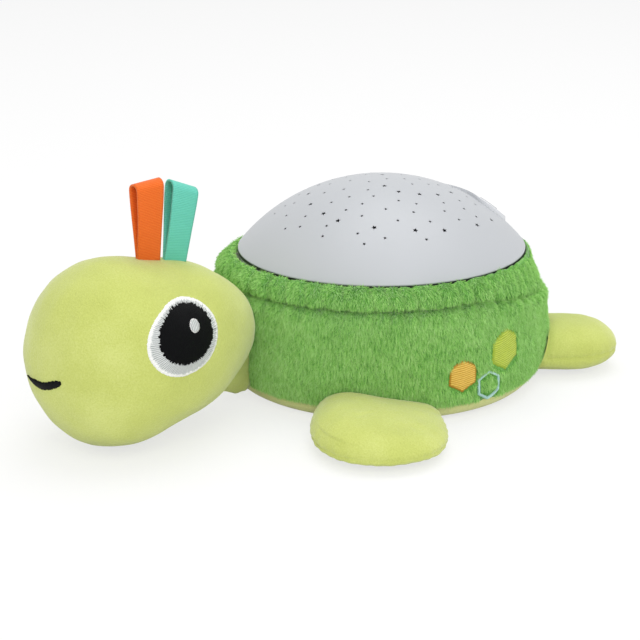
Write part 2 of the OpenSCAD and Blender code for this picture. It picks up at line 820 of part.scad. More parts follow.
// The body's whole outer form as one solid of revolution, moved out by d.
module body_form(d) {
    rotate_extrude($fn = 96) polygon(concat([[0, -d]], body_line(d), [[0, channel_z]]));
}

module belly_panel() {
    color(PLUSH_LIME) difference() {
        body_form(0);
        body_form_inner(plush_t);
        translate([0, 0, seam_z]) cylinder(h = channel_z, r = body_r + plush_t);
        translate([0, 0, -1]) cylinder(h = 1 + seam_z, r = belly_hole_r);
    }
}

// The inside of the fabric, where the stuffing lies.
module body_form_inner(t) {
    rotate_extrude($fn = 96) intersection() {
        polygon(concat([[0, t]], [for (p = body_line(-t)) [p[0], max(p[1], t)]], [[0, channel_z + 1]]));
        translate([0, t]) square([body_r + 10, channel_z + 10]);
    }
}

module shell_wall() {
    color(PLUSH_GREEN) difference() {
        body_form(0);
        body_form_inner(plush_t);
        translate([0, 0, -1]) cylinder(h = seam_z + 1, r = body_r + 10);
        translate([0, 0, -1]) cylinder(h = channel_z + 5, r = housing_top_r + pocket_gap + lining_t + 1);
    }
}

// Fabric folded over at the top and stitched along its lower edge, open underneath.
module gathered_collar() {
    color(PLUSH_GREEN) rotate_extrude($fn = 96) difference() {
        collar_profile(0, collar_low_z);
        collar_profile(plush_t, collar_low_z - 2);
    }
}

// Quarter-round fold: upright against the dome, round outside. Shrunk by d.
module collar_profile(d, low_z) {
    intersection() {
        union() {
            translate([collar_in_r, collar_round_z]) circle(collar_w - d);
            translate([collar_in_r, low_z]) square([collar_w - d, collar_round_z - low_z]);
        }
        translate([collar_in_r + d, low_z]) square([collar_w, collar_top_z - low_z]);
    }
}

module elastic_band() {
    r = collar_in_r + plush_t + seat_gap;
    color("#F1F0EA") translate([0, 0, collar_round_z]) difference() {
        cylinder(h = elastic_h, r = r + elastic_t);
        translate([0, 0, -1]) cylinder(h = elastic_h + 2, r = r);
    }
}

// Room for the housing, moved out by d.
module pocket_room(d) {
    low_r = housing_low_r + pocket_gap + d;
    top_r = housing_top_r + pocket_gap + d;
    rotate_extrude() polygon([
        [0, -1], [low_r, -1], [low_r, housing_z],
        [top_r, skirt_low_z - 1], [top_r, rim_z + 20], [0, rim_z + 20]
    ]);
}

module pocket_lining() {
    color("#DCE8C8") difference() {
        intersection() {
            pocket_room(lining_t);
            translate([0, 0, lining_low_z]) cylinder(h = lining_top_z - lining_low_z, r = body_r);
        }
        pocket_room(0);
    }
}

module wall_stuffing() {
    color("#F6F5F0") difference() {
        body_form_inner(plush_t + seat_gap);
        pocket_room(lining_t + seat_gap);
        translate([0, 0, channel_z - 0.5]) cylinder(h = 20, r = body_r + 10);
    }
}

// A hexagon on the flank, on both sides, at [angle from the head, height].
module flank_hexagons(at) {
    for (s = [-1, 1]) intersection() {
        difference() {
            body_form(stitch_t + 0.1);
            body_form(0.1);
        }
        rotate([0, 0, -90 + s * at[0]]) translate([body_r - 25, 0, at[1]]) rotate([0, 90, 0])
            linear_extrude(40) children();
    }
}

module patch_orange() {
    color("#F2A93B") flank_hexagons(ORANGE_AT) circle(patch_orange_r, $fn = 6);
}

module patch_lime() {
    color("#B9D336") flank_hexagons(LIME_AT) circle(patch_lime_r, $fn = 6);
}

module patch_outline() {
    color("#A9DDE6") flank_hexagons(OUTLINE_AT) difference() {
        circle(patch_outline_r, $fn = 6);
        circle(patch_outline_r - outline_w, $fn = 6);
    }
}

// ---------- head ----------

module in_head() {
    translate([0, -head_dist, head_z]) rotate([90, 0, 0]) children();
}

// The head is round about its own length; local +Z points out of the nose.
module head_form(d) {
    in_head() rotate_extrude($fn = 96) polygon([
        for (i = [0:36]) let (a = -90 + i * 5) [
            (head_r + d) * cos(a) * (1 + head_egg * sin(a)), (head_half + d) * sin(a)
        ]
    ]);
}

// A tall, narrow neck between the head and the shell.
module neck_form(d) {
    translate([0, -neck_front, neck_z]) rotate([-90, 0, 0]) linear_extrude(neck_front - body_r + neck_bite)
        polygon([for (a = [0:7.5:352.5]) [(neck_half_w + d) * cos(a), (neck_half_h + d) * sin(a)]]);
}

module head() {
    color(PLUSH_LIME) difference() {
        union() {
            head_form(0);
            neck_form(0);
        }
        head_form(-skin_t);
        neck_form(-skin_t);
        body_form(0.1);
    }
}

module head_stuffing() {
    color("#F6F5F0") difference() {
        union() {
            head_form(-skin_t - seat_gap);
            neck_form(-skin_t - seat_gap);
        }
        body_form(0.6);
    }
}

// Embroidery lies on the head between two copies of its surface.
module on_head(low, high) {
    intersection() {
        difference() {
            head_form(high);
            head_form(low);
        }
        children();
    }
}

// An oval post out of each side of the head, [forward, up] from the head's middle,
// its half length and half height given, its front end turned down by an angle.
module eye_post(at, half_l, half_h, turn) {
    for (s = [-1, 1]) translate([0, -head_dist - at[0], head_z + at[1]]) rotate([turn, 0, 0])
        rotate([90, 0, s * 90]) translate([0, 0, 10]) linear_extrude(head_r)
            polygon([for (a = [0:7.5:352.5]) [half_l * cos(a), half_h * sin(a)]]);
}

module eye_whites() {
    color("#F7F7F4") difference() {
        on_head(stitch_gap, stitch_gap + stitch_t) eye_post(EYE_AT, eye_half_l, eye_half_h, EYE_TURN);
        eye_post(PUPIL_AT, pupil_half_l + 0.05, pupil_half_h + 0.05, PUPIL_TURN);
    }
}

module eye_pupils() {
    color("#1B1B1D") difference() {
        on_head(stitch_gap, 2 * stitch_gap + stitch_t)
            eye_post(PUPIL_AT, pupil_half_l, pupil_half_h, PUPIL_TURN);
        eye_post(HIGHLIGHT_AT, highlight_r + 0.05, highlight_r + 0.05, 0);
    }
}

module eye_highlights() {
    color("#FFFFFF") on_head(stitch_gap, 3 * stitch_gap + stitch_t)
        eye_post(HIGHLIGHT_AT, highlight_r, highlight_r, 0);
}

// The smile is a band of satin stitch across the nose, its ends turned up.
function smile(x) = mouth_low + mouth_rise * (abs(x) / mouth_half) ^ 1.4;
module mouth_stitch() {
    xs = [for (i = [-8:8]) mouth_half * i / 8];
    color("#1B1B1D") on_head(stitch_gap, stitch_gap + stitch_t)
        in_head() translate([0, 0, 10]) linear_extrude(head_half) polygon(concat(
            [for (x = xs) [x, smile(x) - mouth_w / 2]],
            [for (x = xs) [-x, smile(x) + mouth_w / 2]]
        ));
}

// ---------- ribbons ----------

// Height of the head's crest at a distance from the dome axis.
function crest_z(dist) = let (s = (dist - head_dist) / head_half)
    head_z + head_r * sqrt(1 - s * s) * (1 + head_egg * s);
function loop_side(f, gap) = gap / 2 * sin(f * 90) ^ 1.4;

// One loop seen along its width: narrow at the seam, round at the top.
module loop_outline(gap, h) {
    polygon(concat(
        [for (i = [0:8]) [ribbon_foot + loop_side(i / 8, gap), i / 8 * (h - gap / 2)]],
        [for (i = [1:11]) [(ribbon_foot + gap / 2) * cos(i * 15), h - gap / 2 + gap / 2 * sin(i * 15)]],
        [for (i = [8:-1:0]) [-ribbon_foot - loop_side(i / 8, gap), i / 8 * (h - gap / 2)]]
    ));
}

module ribbon_loop() {
    rotate([90, 0, 0]) translate([0, -ribbon_sink, -ribbon_w / 2]) linear_extrude(ribbon_w) difference() {
        loop_outline(ribbon_gap + 2 * ribbon_t, ribbon_h + ribbon_sink);
        translate([0, 3 + ribbon_sink]) loop_outline(ribbon_gap, ribbon_h - 3 - ribbon_t);
    }
}

module ribbon_orange() {
    color("#F2762B") difference() {
        translate([0, -ribbon_dist, crest_z(ribbon_dist)]) rotate([-orange_lean, 0, 0]) ribbon_loop();
        head_form(stitch_gap);
    }
}

module ribbon_teal() {
    color("#63CDBB") difference() {
        translate([0, ribbon_step - ribbon_dist, crest_z(ribbon_dist - ribbon_step)])
            rotate([-teal_lean, 0, 0]) ribbon_loop();
        head_form(stitch_gap);
    }
}

// ---------- flippers ----------

// A cushion with a round outline: flat under its seam, domed above it. Shrunk by d all round.
module cushion(r, h, d) {
    rotate_extrude($fn = 96) polygon(concat(
        [for (i = [0:12]) let (a = -90 + i * 7.5)
            [(r - d) * cos(a) ^ 0.6, flipper_seam + (flipper_seam - d) * sin(a)]],
        [for (i = [1:16]) let (a = i * 90 / 16)
            [max(0, (r - d) * cos(a) ^ 0.8), flipper_seam + (h - flipper_seam - d) * sin(a)]]
    ));
}

module flipper_cover(angle, tip, r, h) {
    difference() {
        rotate([0, 0, angle - 90]) translate([tip - r, 0, flipper_low]) cushion(r, h, 0);
        rotate([0, 0, angle - 90]) translate([tip - r, 0, flipper_low]) cushion(r, h, skin_t);
        body_form(root_gap);
    }
}

module flipper_stuffing(angle, tip, r, h) {
    difference() {
        rotate([0, 0, angle - 90]) translate([tip - r, 0, flipper_low]) cushion(r, h, skin_t + seat_gap);
        body_form(root_gap + 0.4);
    }
}

module front_left_flipper() {
    color(PLUSH_LIME) flipper_cover(front_angle, front_tip, front_r, front_h);
}

module front_left_stuffing() {
    color("#F6F5F0") flipper_stuffing(front_angle, front_tip, front_r, front_h);
}

module front_right_flipper() {
    color(PLUSH_LIME) flipper_cover(-front_angle, front_tip, front_r, front_h);
}

module front_right_stuffing() {
    color("#F6F5F0") flipper_stuffing(-front_angle, front_tip, front_r, front_h);
}

module rear_left_foot() {
    color(PLUSH_LIME) flipper_cover(rear_angle, rear_tip, rear_r, rear_h);
}

module rear_left_stuffing() {
    color("#F6F5F0") flipper_stuffing(rear_angle, rear_tip, rear_r, rear_h);
}

module rear_right_foot() {
    color(PLUSH_LIME) flipper_cover(-rear_angle, rear_tip, rear_r, rear_h);
}

module rear_right_stuffing() {
    color("#F6F5F0") flipper_stuffing(-rear_angle, rear_tip, rear_r, rear_h);
}

head();
head_stuffing();
eye_whites();
eye_pupils();
eye_highlights();
mouth_stitch();
ribbon_orange();
ribbon_teal();
shell_wall();
gathered_collar();
elastic_band();
wall_stuffing();
pocket_lining();
belly_panel();
patch_orange();
patch_lime();
patch_outline();
front_left_flipper();
front_left_stuffing();
front_right_flipper();
front_right_stuffing();
rear_left_foot();
rear_left_stuffing();
rear_right_foot();
rear_right_stuffing();
star_dome();
control_pad();
power_button();
color_button();
timer_button();
button_board();
tact_switches();
board_screws();
button_cable();
base_housing();
housing_screws();
rubber_feet();
inner_deck();
main_board();
board_parts();
light_tower();
lamp_board();
lamp_red();
lamp_green();
lamp_blue();
batteries();
battery_springs();
battery_contacts();
battery_leads();
battery_door();
door_screw();
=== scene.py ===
# %% [markdown]
# # A plush turtle with a star projector in its back
# The hard parts (dome, keys, housing, boards, cells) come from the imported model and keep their
# shape. The soft parts are remade here as sewn, stuffed plush: skins with gathers and seams, and a
# long pile of real fibres on the green ones. The toy's sizes are in millimetres, which `MM` turns
# into metres. The camera, the floor and the lamps are placed in metres.

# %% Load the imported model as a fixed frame
import bpy, bmesh, json, math, random
from mathutils import Matrix, Vector, noise
from mathutils.bvhtree import BVHTree

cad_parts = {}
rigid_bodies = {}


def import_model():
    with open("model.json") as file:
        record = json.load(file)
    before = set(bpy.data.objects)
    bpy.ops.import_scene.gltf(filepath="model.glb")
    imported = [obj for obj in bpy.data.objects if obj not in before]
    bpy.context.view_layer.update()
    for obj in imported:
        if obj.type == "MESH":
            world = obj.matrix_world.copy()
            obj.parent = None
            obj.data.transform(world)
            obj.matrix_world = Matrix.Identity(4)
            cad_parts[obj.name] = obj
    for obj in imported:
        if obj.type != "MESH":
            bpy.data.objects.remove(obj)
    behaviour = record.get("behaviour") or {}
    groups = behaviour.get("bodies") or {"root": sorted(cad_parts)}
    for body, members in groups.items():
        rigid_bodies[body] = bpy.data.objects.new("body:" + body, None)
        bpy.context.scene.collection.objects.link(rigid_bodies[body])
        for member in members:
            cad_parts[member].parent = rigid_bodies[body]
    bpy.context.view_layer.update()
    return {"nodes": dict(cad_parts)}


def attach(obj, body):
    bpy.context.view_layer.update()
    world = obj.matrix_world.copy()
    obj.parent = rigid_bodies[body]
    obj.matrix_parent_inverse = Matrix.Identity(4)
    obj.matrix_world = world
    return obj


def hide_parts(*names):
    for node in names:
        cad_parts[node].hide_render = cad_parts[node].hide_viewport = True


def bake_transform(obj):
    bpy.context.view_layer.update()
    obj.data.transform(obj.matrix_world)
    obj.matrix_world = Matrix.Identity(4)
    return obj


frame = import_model()
MM = 0.001
TAU = 2 * math.pi

# %% [markdown]
# ## Camera, floor and light
# A longish lens from a little above the toy's left front shows the face, the flank and the dome at
# once. A large floor and an even white sky stand in for a studio; two soft lamps give the form.

# %% Camera
AIM = Vector((0, 0, 0.0645))
TURN, LIFT, AWAY = math.radians(51), math.radians(15.74), 0.8
LENS, SHIFT_X, SHIFT_Y = 92.02, -0.0963, -0.1202
to_camera = Vector((math.sin(TURN) * math.cos(LIFT), -math.cos(TURN) * math.cos(LIFT),
                    math.sin(LIFT)))
camera = bpy.data.objects.new("camera", bpy.data.cameras.new("camera"))
bpy.context.scene.collection.objects.link(camera)
camera.location = AIM + to_camera * AWAY
camera.rotation_euler = (-to_camera).to_track_quat("-Z", "Y").to_euler()
camera.data.lens = LENS
camera.data.shift_x, camera.data.shift_y = SHIFT_X, SHIFT_Y
camera.data.clip_start = 0.01
bpy.context.scene.camera = camera
print("camera at", [round(c, 3) for c in camera.location])


# %% Helpers for objects
def add_object(name, mesh, *materials):
    obj = bpy.data.objects.new(name, mesh)
    bpy.context.scene.collection.objects.link(obj)
    for material in materials:
        mesh.materials.append(material)
    return obj


def settle(bm):
    """Sorts edges and faces by their vertices. Spinning and extruding leave them in an order that
    differs from run to run, and the scatter of the pile would differ with it."""
    def place(part):
        numbers = [v.index for v in part.verts]
        return min(numbers) * 1e6 + sum(numbers)
    bm.verts.index_update()
    bm.edges.sort(key=place)
    bm.faces.sort(key=place)


def from_bmesh(name, bm, *materials):
    settle(bm)
    mesh = bpy.data.meshes.new(name)
    bm.to_mesh(mesh)
    bm.free()
    mesh.shade_smooth()
    print(f"{name}: {len(mesh.polygons)} faces")
    return add_object(name, mesh, *materials)


# %% Helpers for node trees
def put(tree, kind, links=None, **settings):
    """Adds a node. settings are its own options, and links gives its inputs a value or a socket."""
    made = tree.nodes.new(kind)
    for key, value in settings.items():
        setattr(made, key, value)
    for key, value in (links or {}).items():
        if isinstance(value, bpy.types.NodeSocket):
            tree.links.new(value, made.inputs[key])
        else:
            made.inputs[key].default_value = value
    return made


def maths(tree, operation, *values):
    """The result of one step of arithmetic on numbers or sockets."""
    return put(tree, "ShaderNodeMath", dict(enumerate(values)), operation=operation).outputs[0]


def mixed(tree, factor, a, b):
    """Two values blended, where factor is the share of b."""
    return put(tree, "ShaderNodeMix", {"Factor": factor, "A": a, "B": b}).outputs[0]


def cloudy(tree, place, scale, detail=2.0):
    """A cloudy pattern from 0 to 1. A greater scale makes smaller clouds."""
    links = {"Vector": place, "Scale": scale, "Detail": detail}
    return put(tree, "ShaderNodeTexNoise", links).outputs["Fac"]


def object_place(tree):
    return put(tree, "ShaderNodeTexCoord").outputs["Object"]


def scaled(tree, place, scale):
    return put(tree, "ShaderNodeMapping", {"Vector": place, "Scale": scale}).outputs[0]


def attribute(tree, name):
    return put(tree, "ShaderNodeAttribute", attribute_name=name).outputs["Fac"]


# %% Helpers for materials
def hex_colour(code, alpha=1.0):
    """A colour as written on a screen (sRGB), turned into Blender's linear values."""
    parts = [int(code[i:i + 2], 16) / 255 for i in (0, 2, 4)]
    return tuple(c / 12.92 if c <= 0.04045 else ((c + 0.055) / 1.055) ** 2.4
                 for c in parts) + (alpha,)


def ramp(tree, factor, *stops):
    made = put(tree, "ShaderNodeValToRGB", {"Fac": factor})
    spots = made.color_ramp.elements
    while len(spots) < len(stops):
        spots.new(0.5)
    for spot, (place, code) in zip(spots, stops):
        spot.position, spot.color = place, hex_colour(code)
    return made.outputs["Color"]


def new_material(name, **plain):
    """A material with its node tree and shader. plain gives the shader's sockets by their names."""
    material = bpy.data.materials.new(name)
    material.use_nodes = True
    tree = material.node_tree
    shader = tree.nodes["Principled BSDF"]
    for key, value in plain.items():
        shader.inputs[key.replace("_", " ")].default_value = value
    return material, tree, shader


def finish_with(tree, shader, colour, height, depth, strength):
    """Gives the shader its colour, and bumps it by a pattern of height, depth millimetres deep."""
    tree.links.new(colour, shader.inputs["Base Color"])
    links = {"Height": height, "Strength": strength, "Distance": depth * MM}
    made = put(tree, "ShaderNodeBump", links)
    tree.links.new(made.outputs["Normal"], shader.inputs["Normal"])


# %% Floor
FLOOR_GLOW = 0.7    # the part of pure white that the camera sees on top of the lit paper
floor_bm = bmesh.new()
bmesh.ops.create_grid(floor_bm, x_segments=2, y_segments=2, size=6)
white_paper, tree, shader = new_material("white_paper", Base_Color=(0.93, 0.93, 0.93, 1),
                                         Roughness=0.9, Specular_IOR_Level=0.1)
glow = put(tree, "ShaderNodeEmission", {"Color": (1, 1, 1, 1), "Strength": 1.0})
path = put(tree, "ShaderNodeLightPath")
seen = maths(tree, "MULTIPLY", path.outputs["Is Camera Ray"], FLOOR_GLOW)
floor_mix = put(tree, "ShaderNodeMixShader", {0: seen, 1: shader.outputs[0], 2: glow.outputs[0]})
tree.links.new(floor_mix.outputs[0], tree.nodes["Material Output"].inputs["Surface"])
floor = from_bmesh("floor", floor_bm, white_paper)

# %% Sky and lamps
SKY_LIGHT, SKY_SEEN = 0.7, 1.0    # how bright the sky is as light, and where it is seen or mirrored
world = bpy.data.worlds.new("studio")
bpy.context.scene.world = world
world.use_nodes = True
tree = world.node_tree
sky = tree.nodes["Background"]
path = put(tree, "ShaderNodeLightPath")
plain_rays = maths(tree, "MAXIMUM", path.outputs["Is Camera Ray"], path.outputs["Is Glossy Ray"])
plain_rays = maths(tree, "MAXIMUM", plain_rays, path.outputs["Is Transmission Ray"])
tree.links.new(mixed(tree, plain_rays, SKY_LIGHT, SKY_SEEN), sky.inputs["Strength"])
sky.inputs["Color"].default_value = (1, 1, 1, 1)


def soft_lamp(name, place, size, power):
    lamp = bpy.data.objects.new(name, bpy.data.lights.new(name, "AREA"))
    bpy.context.scene.collection.objects.link(lamp)
    lamp.data.size, lamp.data.energy = size, power
    lamp.location = place
    lamp.rotation_euler = (AIM - Vector(place)).to_track_quat("-Z", "Y").to_euler()
    print(f"{name}: {power} watts")


soft_lamp("key_lamp", (1.0, -0.62, 1.05), 0.8, 6.5)
soft_lamp("top_lamp", (-0.1, 0.25, 1.4), 1.1, 8.0)
bpy.context.scene.view_settings.view_transform = "Standard"

# %% [markdown]
# ## Fabric colours and finishes
# Plush is a knitted backing with fibres standing in it. The backing is darker than the tips,
# because light is lost between the fibres, so the green skin gets a darker mottled colour, and the
# fibres run from that colour at the root to a bright one at the tip. The lime plush has a nap too
# short to need fibres: a fine bump and a little sheen give its soft look.


# %% Plush skin
def plush_skin(name, dark, mid, light, sheen=0.35, patch=55, grain=900, grain_depth=0.5):
    """patch and grain are the scales of its broad mottling and of its fine nap."""
    material, tree, shader = new_material(name, Roughness=0.95, Sheen_Weight=sheen,
                                          Sheen_Roughness=0.45, Specular_IOR_Level=0.15)
    place = object_place(tree)
    broad, fine = cloudy(tree, place, patch, 3.0), cloudy(tree, place, grain)
    colour = ramp(tree, mixed(tree, 0.42, broad, fine), (0.32, dark), (0.5, mid), (0.66, light))
    finish_with(tree, shader, colour, fine, grain_depth, 0.8)
    return material


SHORT_NAP = {"sheen": 0.4, "patch": 32, "grain": 1500, "grain_depth": 0.35}
green_skin = plush_skin("green_backing", "478530", "609D42", "7CB95A")
lime_skin = plush_skin("lime_plush", "B9C264", "C5CE70", "D1D982", **SHORT_NAP)
# The belly's copy of the lime plush is painted lighter: painted light that lifts the shade near the
# floor.
lime_skin_with_painted_light = plush_skin("lime_plush_with_painted_light", "CACE86", "D6D994", "E0E2A6", **SHORT_NAP)
print("three plush skins made")


# %% Plush fibre
def plush_fibre(name, root, mid, tip):
    """A fibre's shade grows along it, and differs by fibre, by mottle and by a combed streak."""
    material, tree, shader = new_material(name, Roughness=0.8, Sheen_Weight=0.5,
                                          Sheen_Roughness=0.4, Specular_IOR_Level=0.2)
    place = object_place(tree)
    mottle = cloudy(tree, place, 70.0, 3.0)
    streak = cloudy(tree, scaled(tree, place, (1, 1, 0.22)), 1150.0)
    shade = maths(tree, "MULTIPLY", attribute(tree, "along"), 0.5)
    for part, weight in ((attribute(tree, "strand"), 0.25), (mottle, 0.35), (streak, 1.35)):
        shade = maths(tree, "MULTIPLY_ADD", part, weight, shade)
    shade = maths(tree, "SUBTRACT", shade, 0.64)
    tree.links.new(ramp(tree, shade, (0.12, root), (0.5, mid), (0.95, tip)),
                   shader.inputs["Base Color"])
    return material


green_fibre = plush_fibre("green_pile", "4A9535", "92D066", "BFEA95")
print("made", green_fibre.name)

# %% [markdown]
# ## Thread, ribbon and woven cloth
# Satin stitch and ribbed tape are both parallel threads that catch the light in turn. A wave
# pattern gives the threads, and noise that is stretched along them keeps each one a little
# different. Both read the piece's own map called threads, so the threads follow its shape.


# %% Satin stitch and ribbon
def thread_map(tree):
    return put(tree, "ShaderNodeUVMap", uv_map="threads").outputs[0]


def stripes(tree, place, pitch, wobble, detail, detail_scale=1.0, axis="Y"):
    """Stripes pitch millimetres apart. At scale 1, Blender draws about 3.2 of them to a unit."""
    links = {"Vector": place, "Scale": 1 / pitch / 3.2, "Distortion": wobble, "Detail": detail,
             "Detail Scale": detail_scale}
    return put(tree, "ShaderNodeTexWave", links, bands_direction=axis).outputs["Fac"]


def satin_stitch(name, dark, light, pitch=0.42, across=False, shine=0.3, rim=None, rim_from=0.88):
    """Embroidery: close parallel threads. rim is the colour of the border stitches, which lie where
    the piece's attribute edge is above rim_from, a little unevenly."""
    material, tree, shader = new_material(name, Roughness=0.5, Specular_IOR_Level=shine)
    place = thread_map(tree)
    wave = stripes(tree, place, pitch, 1.6, 3.0, 1.5, "Y" if across else "X")
    drawn_out = scaled(tree, place, (0.25, 2.2, 1) if across else (2.2, 0.25, 1))
    uneven = cloudy(tree, drawn_out, 1.3, 3.0)
    height = mixed(tree, 0.55, wave, uneven)
    colour = ramp(tree, height, (0.2, dark), (0.75, light))
    if rim:
        wobble = maths(tree, "MULTIPLY_ADD", uneven, 0.2, attribute(tree, "edge"))
        border = put(tree, "ShaderNodeMapRange", {"Value": wobble, "From Min": rim_from + 0.09,
                                                  "From Max": rim_from + 0.12})
        links = {0: border.outputs[0], 1: colour, 2: hex_colour(rim)}
        colour = put(tree, "ShaderNodeMixRGB", links).outputs[0]
    finish_with(tree, shader, colour, height, 0.35, 0.9)
    return material


def ribbed_ribbon(name, dark, light, rib=0.75):
    """Ribbed tape, whose ribs cross it rib millimetres apart."""
    material, tree, shader = new_material(name, Roughness=0.6, Sheen_Weight=0.08,
                                          Specular_IOR_Level=0.2)
    place = thread_map(tree)
    ribs = stripes(tree, place, rib, 0.4, 2.0)
    warp = cloudy(tree, scaled(tree, place, (3.5, 0.6, 1)), 1.6, 3.0)
    colour = ramp(tree, mixed(tree, 0.6, ribs, warp), (0.1, dark), (0.8, light))
    finish_with(tree, shader, colour, ribs, 0.12, 0.8)
    return material


white_stitch = satin_stitch("white_satin_stitch", "979D9C", "E0E3E1", 0.9, rim="F8F8F5",
                            rim_from=0.92)
black_stitch = satin_stitch("black_satin_stitch", "030304", "111214", shine=0.06)
orange_stitch = satin_stitch("orange_satin_stitch", "BE861A", "F2CF66", 1.0, True, rim="C0892A")
lime_stitch = satin_stitch("lime_satin_stitch", "8CA326", "CCDA58", 1.0, True, rim="A6BC3C")
blue_stitch = satin_stitch("blue_satin_stitch", "9ACBC6", "D0EFEC")
orange_ribbon = ribbed_ribbon("orange_grosgrain", "E25512", "F67D2C")
teal_ribbon = ribbed_ribbon("teal_grosgrain", "53BEA8", "78D7C3")
print("five threads and two ribbons made")


# %% Plain woven cloth
def woven_cloth(name, dark, light, count=1400):
    """count is the scale of the weave's cells."""
    material, tree, shader = new_material(name, Roughness=0.9, Sheen_Weight=0.2)
    place = object_place(tree)
    weave = put(tree, "ShaderNodeTexVoronoi", {"Vector": place, "Scale": count}).outputs["Distance"]
    blend = mixed(tree, 0.5, weave, cloudy(tree, place, 60.0, 3.0))
    colour = ramp(tree, blend, (0.2, dark), (0.7, light))
    finish_with(tree, shader, colour, weave, 0.2, 0.7)
    return material


lining_cloth = woven_cloth("pocket_lining_cloth", "C6D2B2", "DFE8CE")
fibre_fill = woven_cloth("fibre_fill", "DDDBD3", "F6F5F0", 500)
elastic_cloth = woven_cloth("woven_elastic", "D5D4CC", "F3F2EC", 900)
print("three cloths made")

# %% [markdown]
# ## The body: one surface function for everything that lies on it
# The stuffed wall, the gathered collar, the pile and the embroidered hexagons all need to agree on
# where the body's surface is. So its shape is one function of the angle and a point of the profile:
# a smooth profile, plus the gathers that the elastic pulls into it, plus soft uneven stuffing.
# Angles run in degrees from the head (0) to the toy's left side (90), its rear (180) and on round.

# %% Sizes that the body follows
BODY_R, SKIN_T = 82.0, 2.0                    # the wall's outside, and its fabric's thickness
EDGE_IN, EDGE_H, SEAM_Z = 15.0, 22.0, 7.5     # its rounded lower edge, and the seam in that
SHOULDER_Z = 42.0                             # where it starts to turn in
CHANNEL_R, CHANNEL_Z = 78.6, 54.0             # the channel that is stitched under the collar
COLLAR_IN_R, COLLAR_W, COLLAR_TOP_Z = 70.9, 8.7, 65.25
print(f"body: {2 * BODY_R} mm across, {COLLAR_TOP_Z} mm to the collar's top")


# %% Small helpers for shapes
def smooth_step(low, high, value):
    """0 below low, 1 above high, and a smooth rise between them."""
    t = min(1.0, max(0.0, (value - low) / (high - low)))
    return t * t * (3 - 2 * t)


def hump(value, middle, width):
    """1 at the middle, and fading to 0 over a little more than width on both sides."""
    return math.exp(-((value - middle) / width) ** 2)


def half_turn(angle):
    """The same angle, from -180 to 180 degrees."""
    return (angle + 180) % 360 - 180


def outward(angle):
    """The level direction away from the dome's axis at an angle."""
    return Vector((math.sin(math.radians(angle)), -math.cos(math.radians(angle)), 0))


# %% Gathers that the elastic pulls into the fabric
PER_DEGREE = 8
random.seed(11)
gathers = []
at = 0.0
while at < 360:
    gathers.append((at, random.uniform(0.4, 1.0), random.uniform(0.8, 1.6)))
    at += random.uniform(4.5, 9.5)


def gather(angle):
    """How deep the fabric is folded in at an angle, from 0 to about 1."""
    deep = 0.0
    for middle, depth, width in gathers:
        off = half_turn(angle - middle)
        if abs(off) < 8:
            deep = max(deep, depth * hump(off, 0, width))
    return deep


GATHER = [gather(i / PER_DEGREE) for i in range(360 * PER_DEGREE)]


def gather_at(angle):
    """The same, read from the table GATHER, which is much faster."""
    place = (angle % 360) * PER_DEGREE
    low = int(place)
    part = place - low
    return GATHER[low % len(GATHER)] * (1 - part) + GATHER[(low + 1) % len(GATHER)] * part


print("gathers round the collar:", len(gathers))

# %% From the plain profile to the sewn fabric
BACK_DROP, RIM_DROP, BACK_IN = 11, 1.6, 1.75     # the flat part: its channel, its rim and its lean
DIP, DIP_RIGHT, DIP_BACK = 2.6, (-52, 24), (150, 30)   # where the rim sinks: angle and spread
SNUG, OPEN = (128, 34), (-12, 24)                # where it hugs the dome, and where it stands open
FOLD_IN, FOLD_DOWN, WALL_FOLD = 2.6, 1.5, 2.4    # how deep the gathers are
CHANNEL_DEPTH, SEAM_DEPTH = 1.6, 0.9             # the grooves of the channel and of the seam
LEAN, LEAN_TO = 1.3, -39                         # how far, and towards which angle, it leans
SLIM = 1.0                                       # how much slimmer it is than the plain profile
HIP, HIP_AT = 2.4, (84, 34)                      # the fuller lower edge on both flanks
SAG_FROM_Z = 30                                  # above this height the wall follows its channel


def fullness(angle):
    """1 where the collar stands up round the dome's front, 0 where it lies flat on the wall."""
    a = half_turn(angle)
    return smooth_step(-88, -22, a) if a < 25 else 1 - smooth_step(78, 140, a)


def collar_place(angle, r, z, flat, fold, channel):
    """How far out and how high a point of the collar comes to lie."""
    share = (z - CHANNEL_Z) / (COLLAR_TOP_Z - CHANNEL_Z)
    upper = smooth_step(0.5, 1.0, share)
    lift = channel + share * (COLLAR_TOP_Z - 1.0 - RIM_DROP * flat - channel)
    sunk = hump(half_turn(angle), *DIP_RIGHT)
    sunk += hump(angle % 360, *DIP_BACK) * smooth_step(72, 77, r)
    lift -= DIP * smooth_step(0.2, 1.0, share) * sunk
    lift += hump(angle % 360, *SNUG) * (1 - smooth_step(71.5, 77, r)) * upper
    lift -= fold * FOLD_DOWN * upper * (1 - 0.5 * flat)
    out = -BACK_IN * flat * math.sin(math.pi * min(1.0, share) ** 1.6)
    out -= fold * (FOLD_IN - 0.4 * share) * smooth_step(0, 0.2, share) * (1 - 0.5 * flat)
    return out, lift


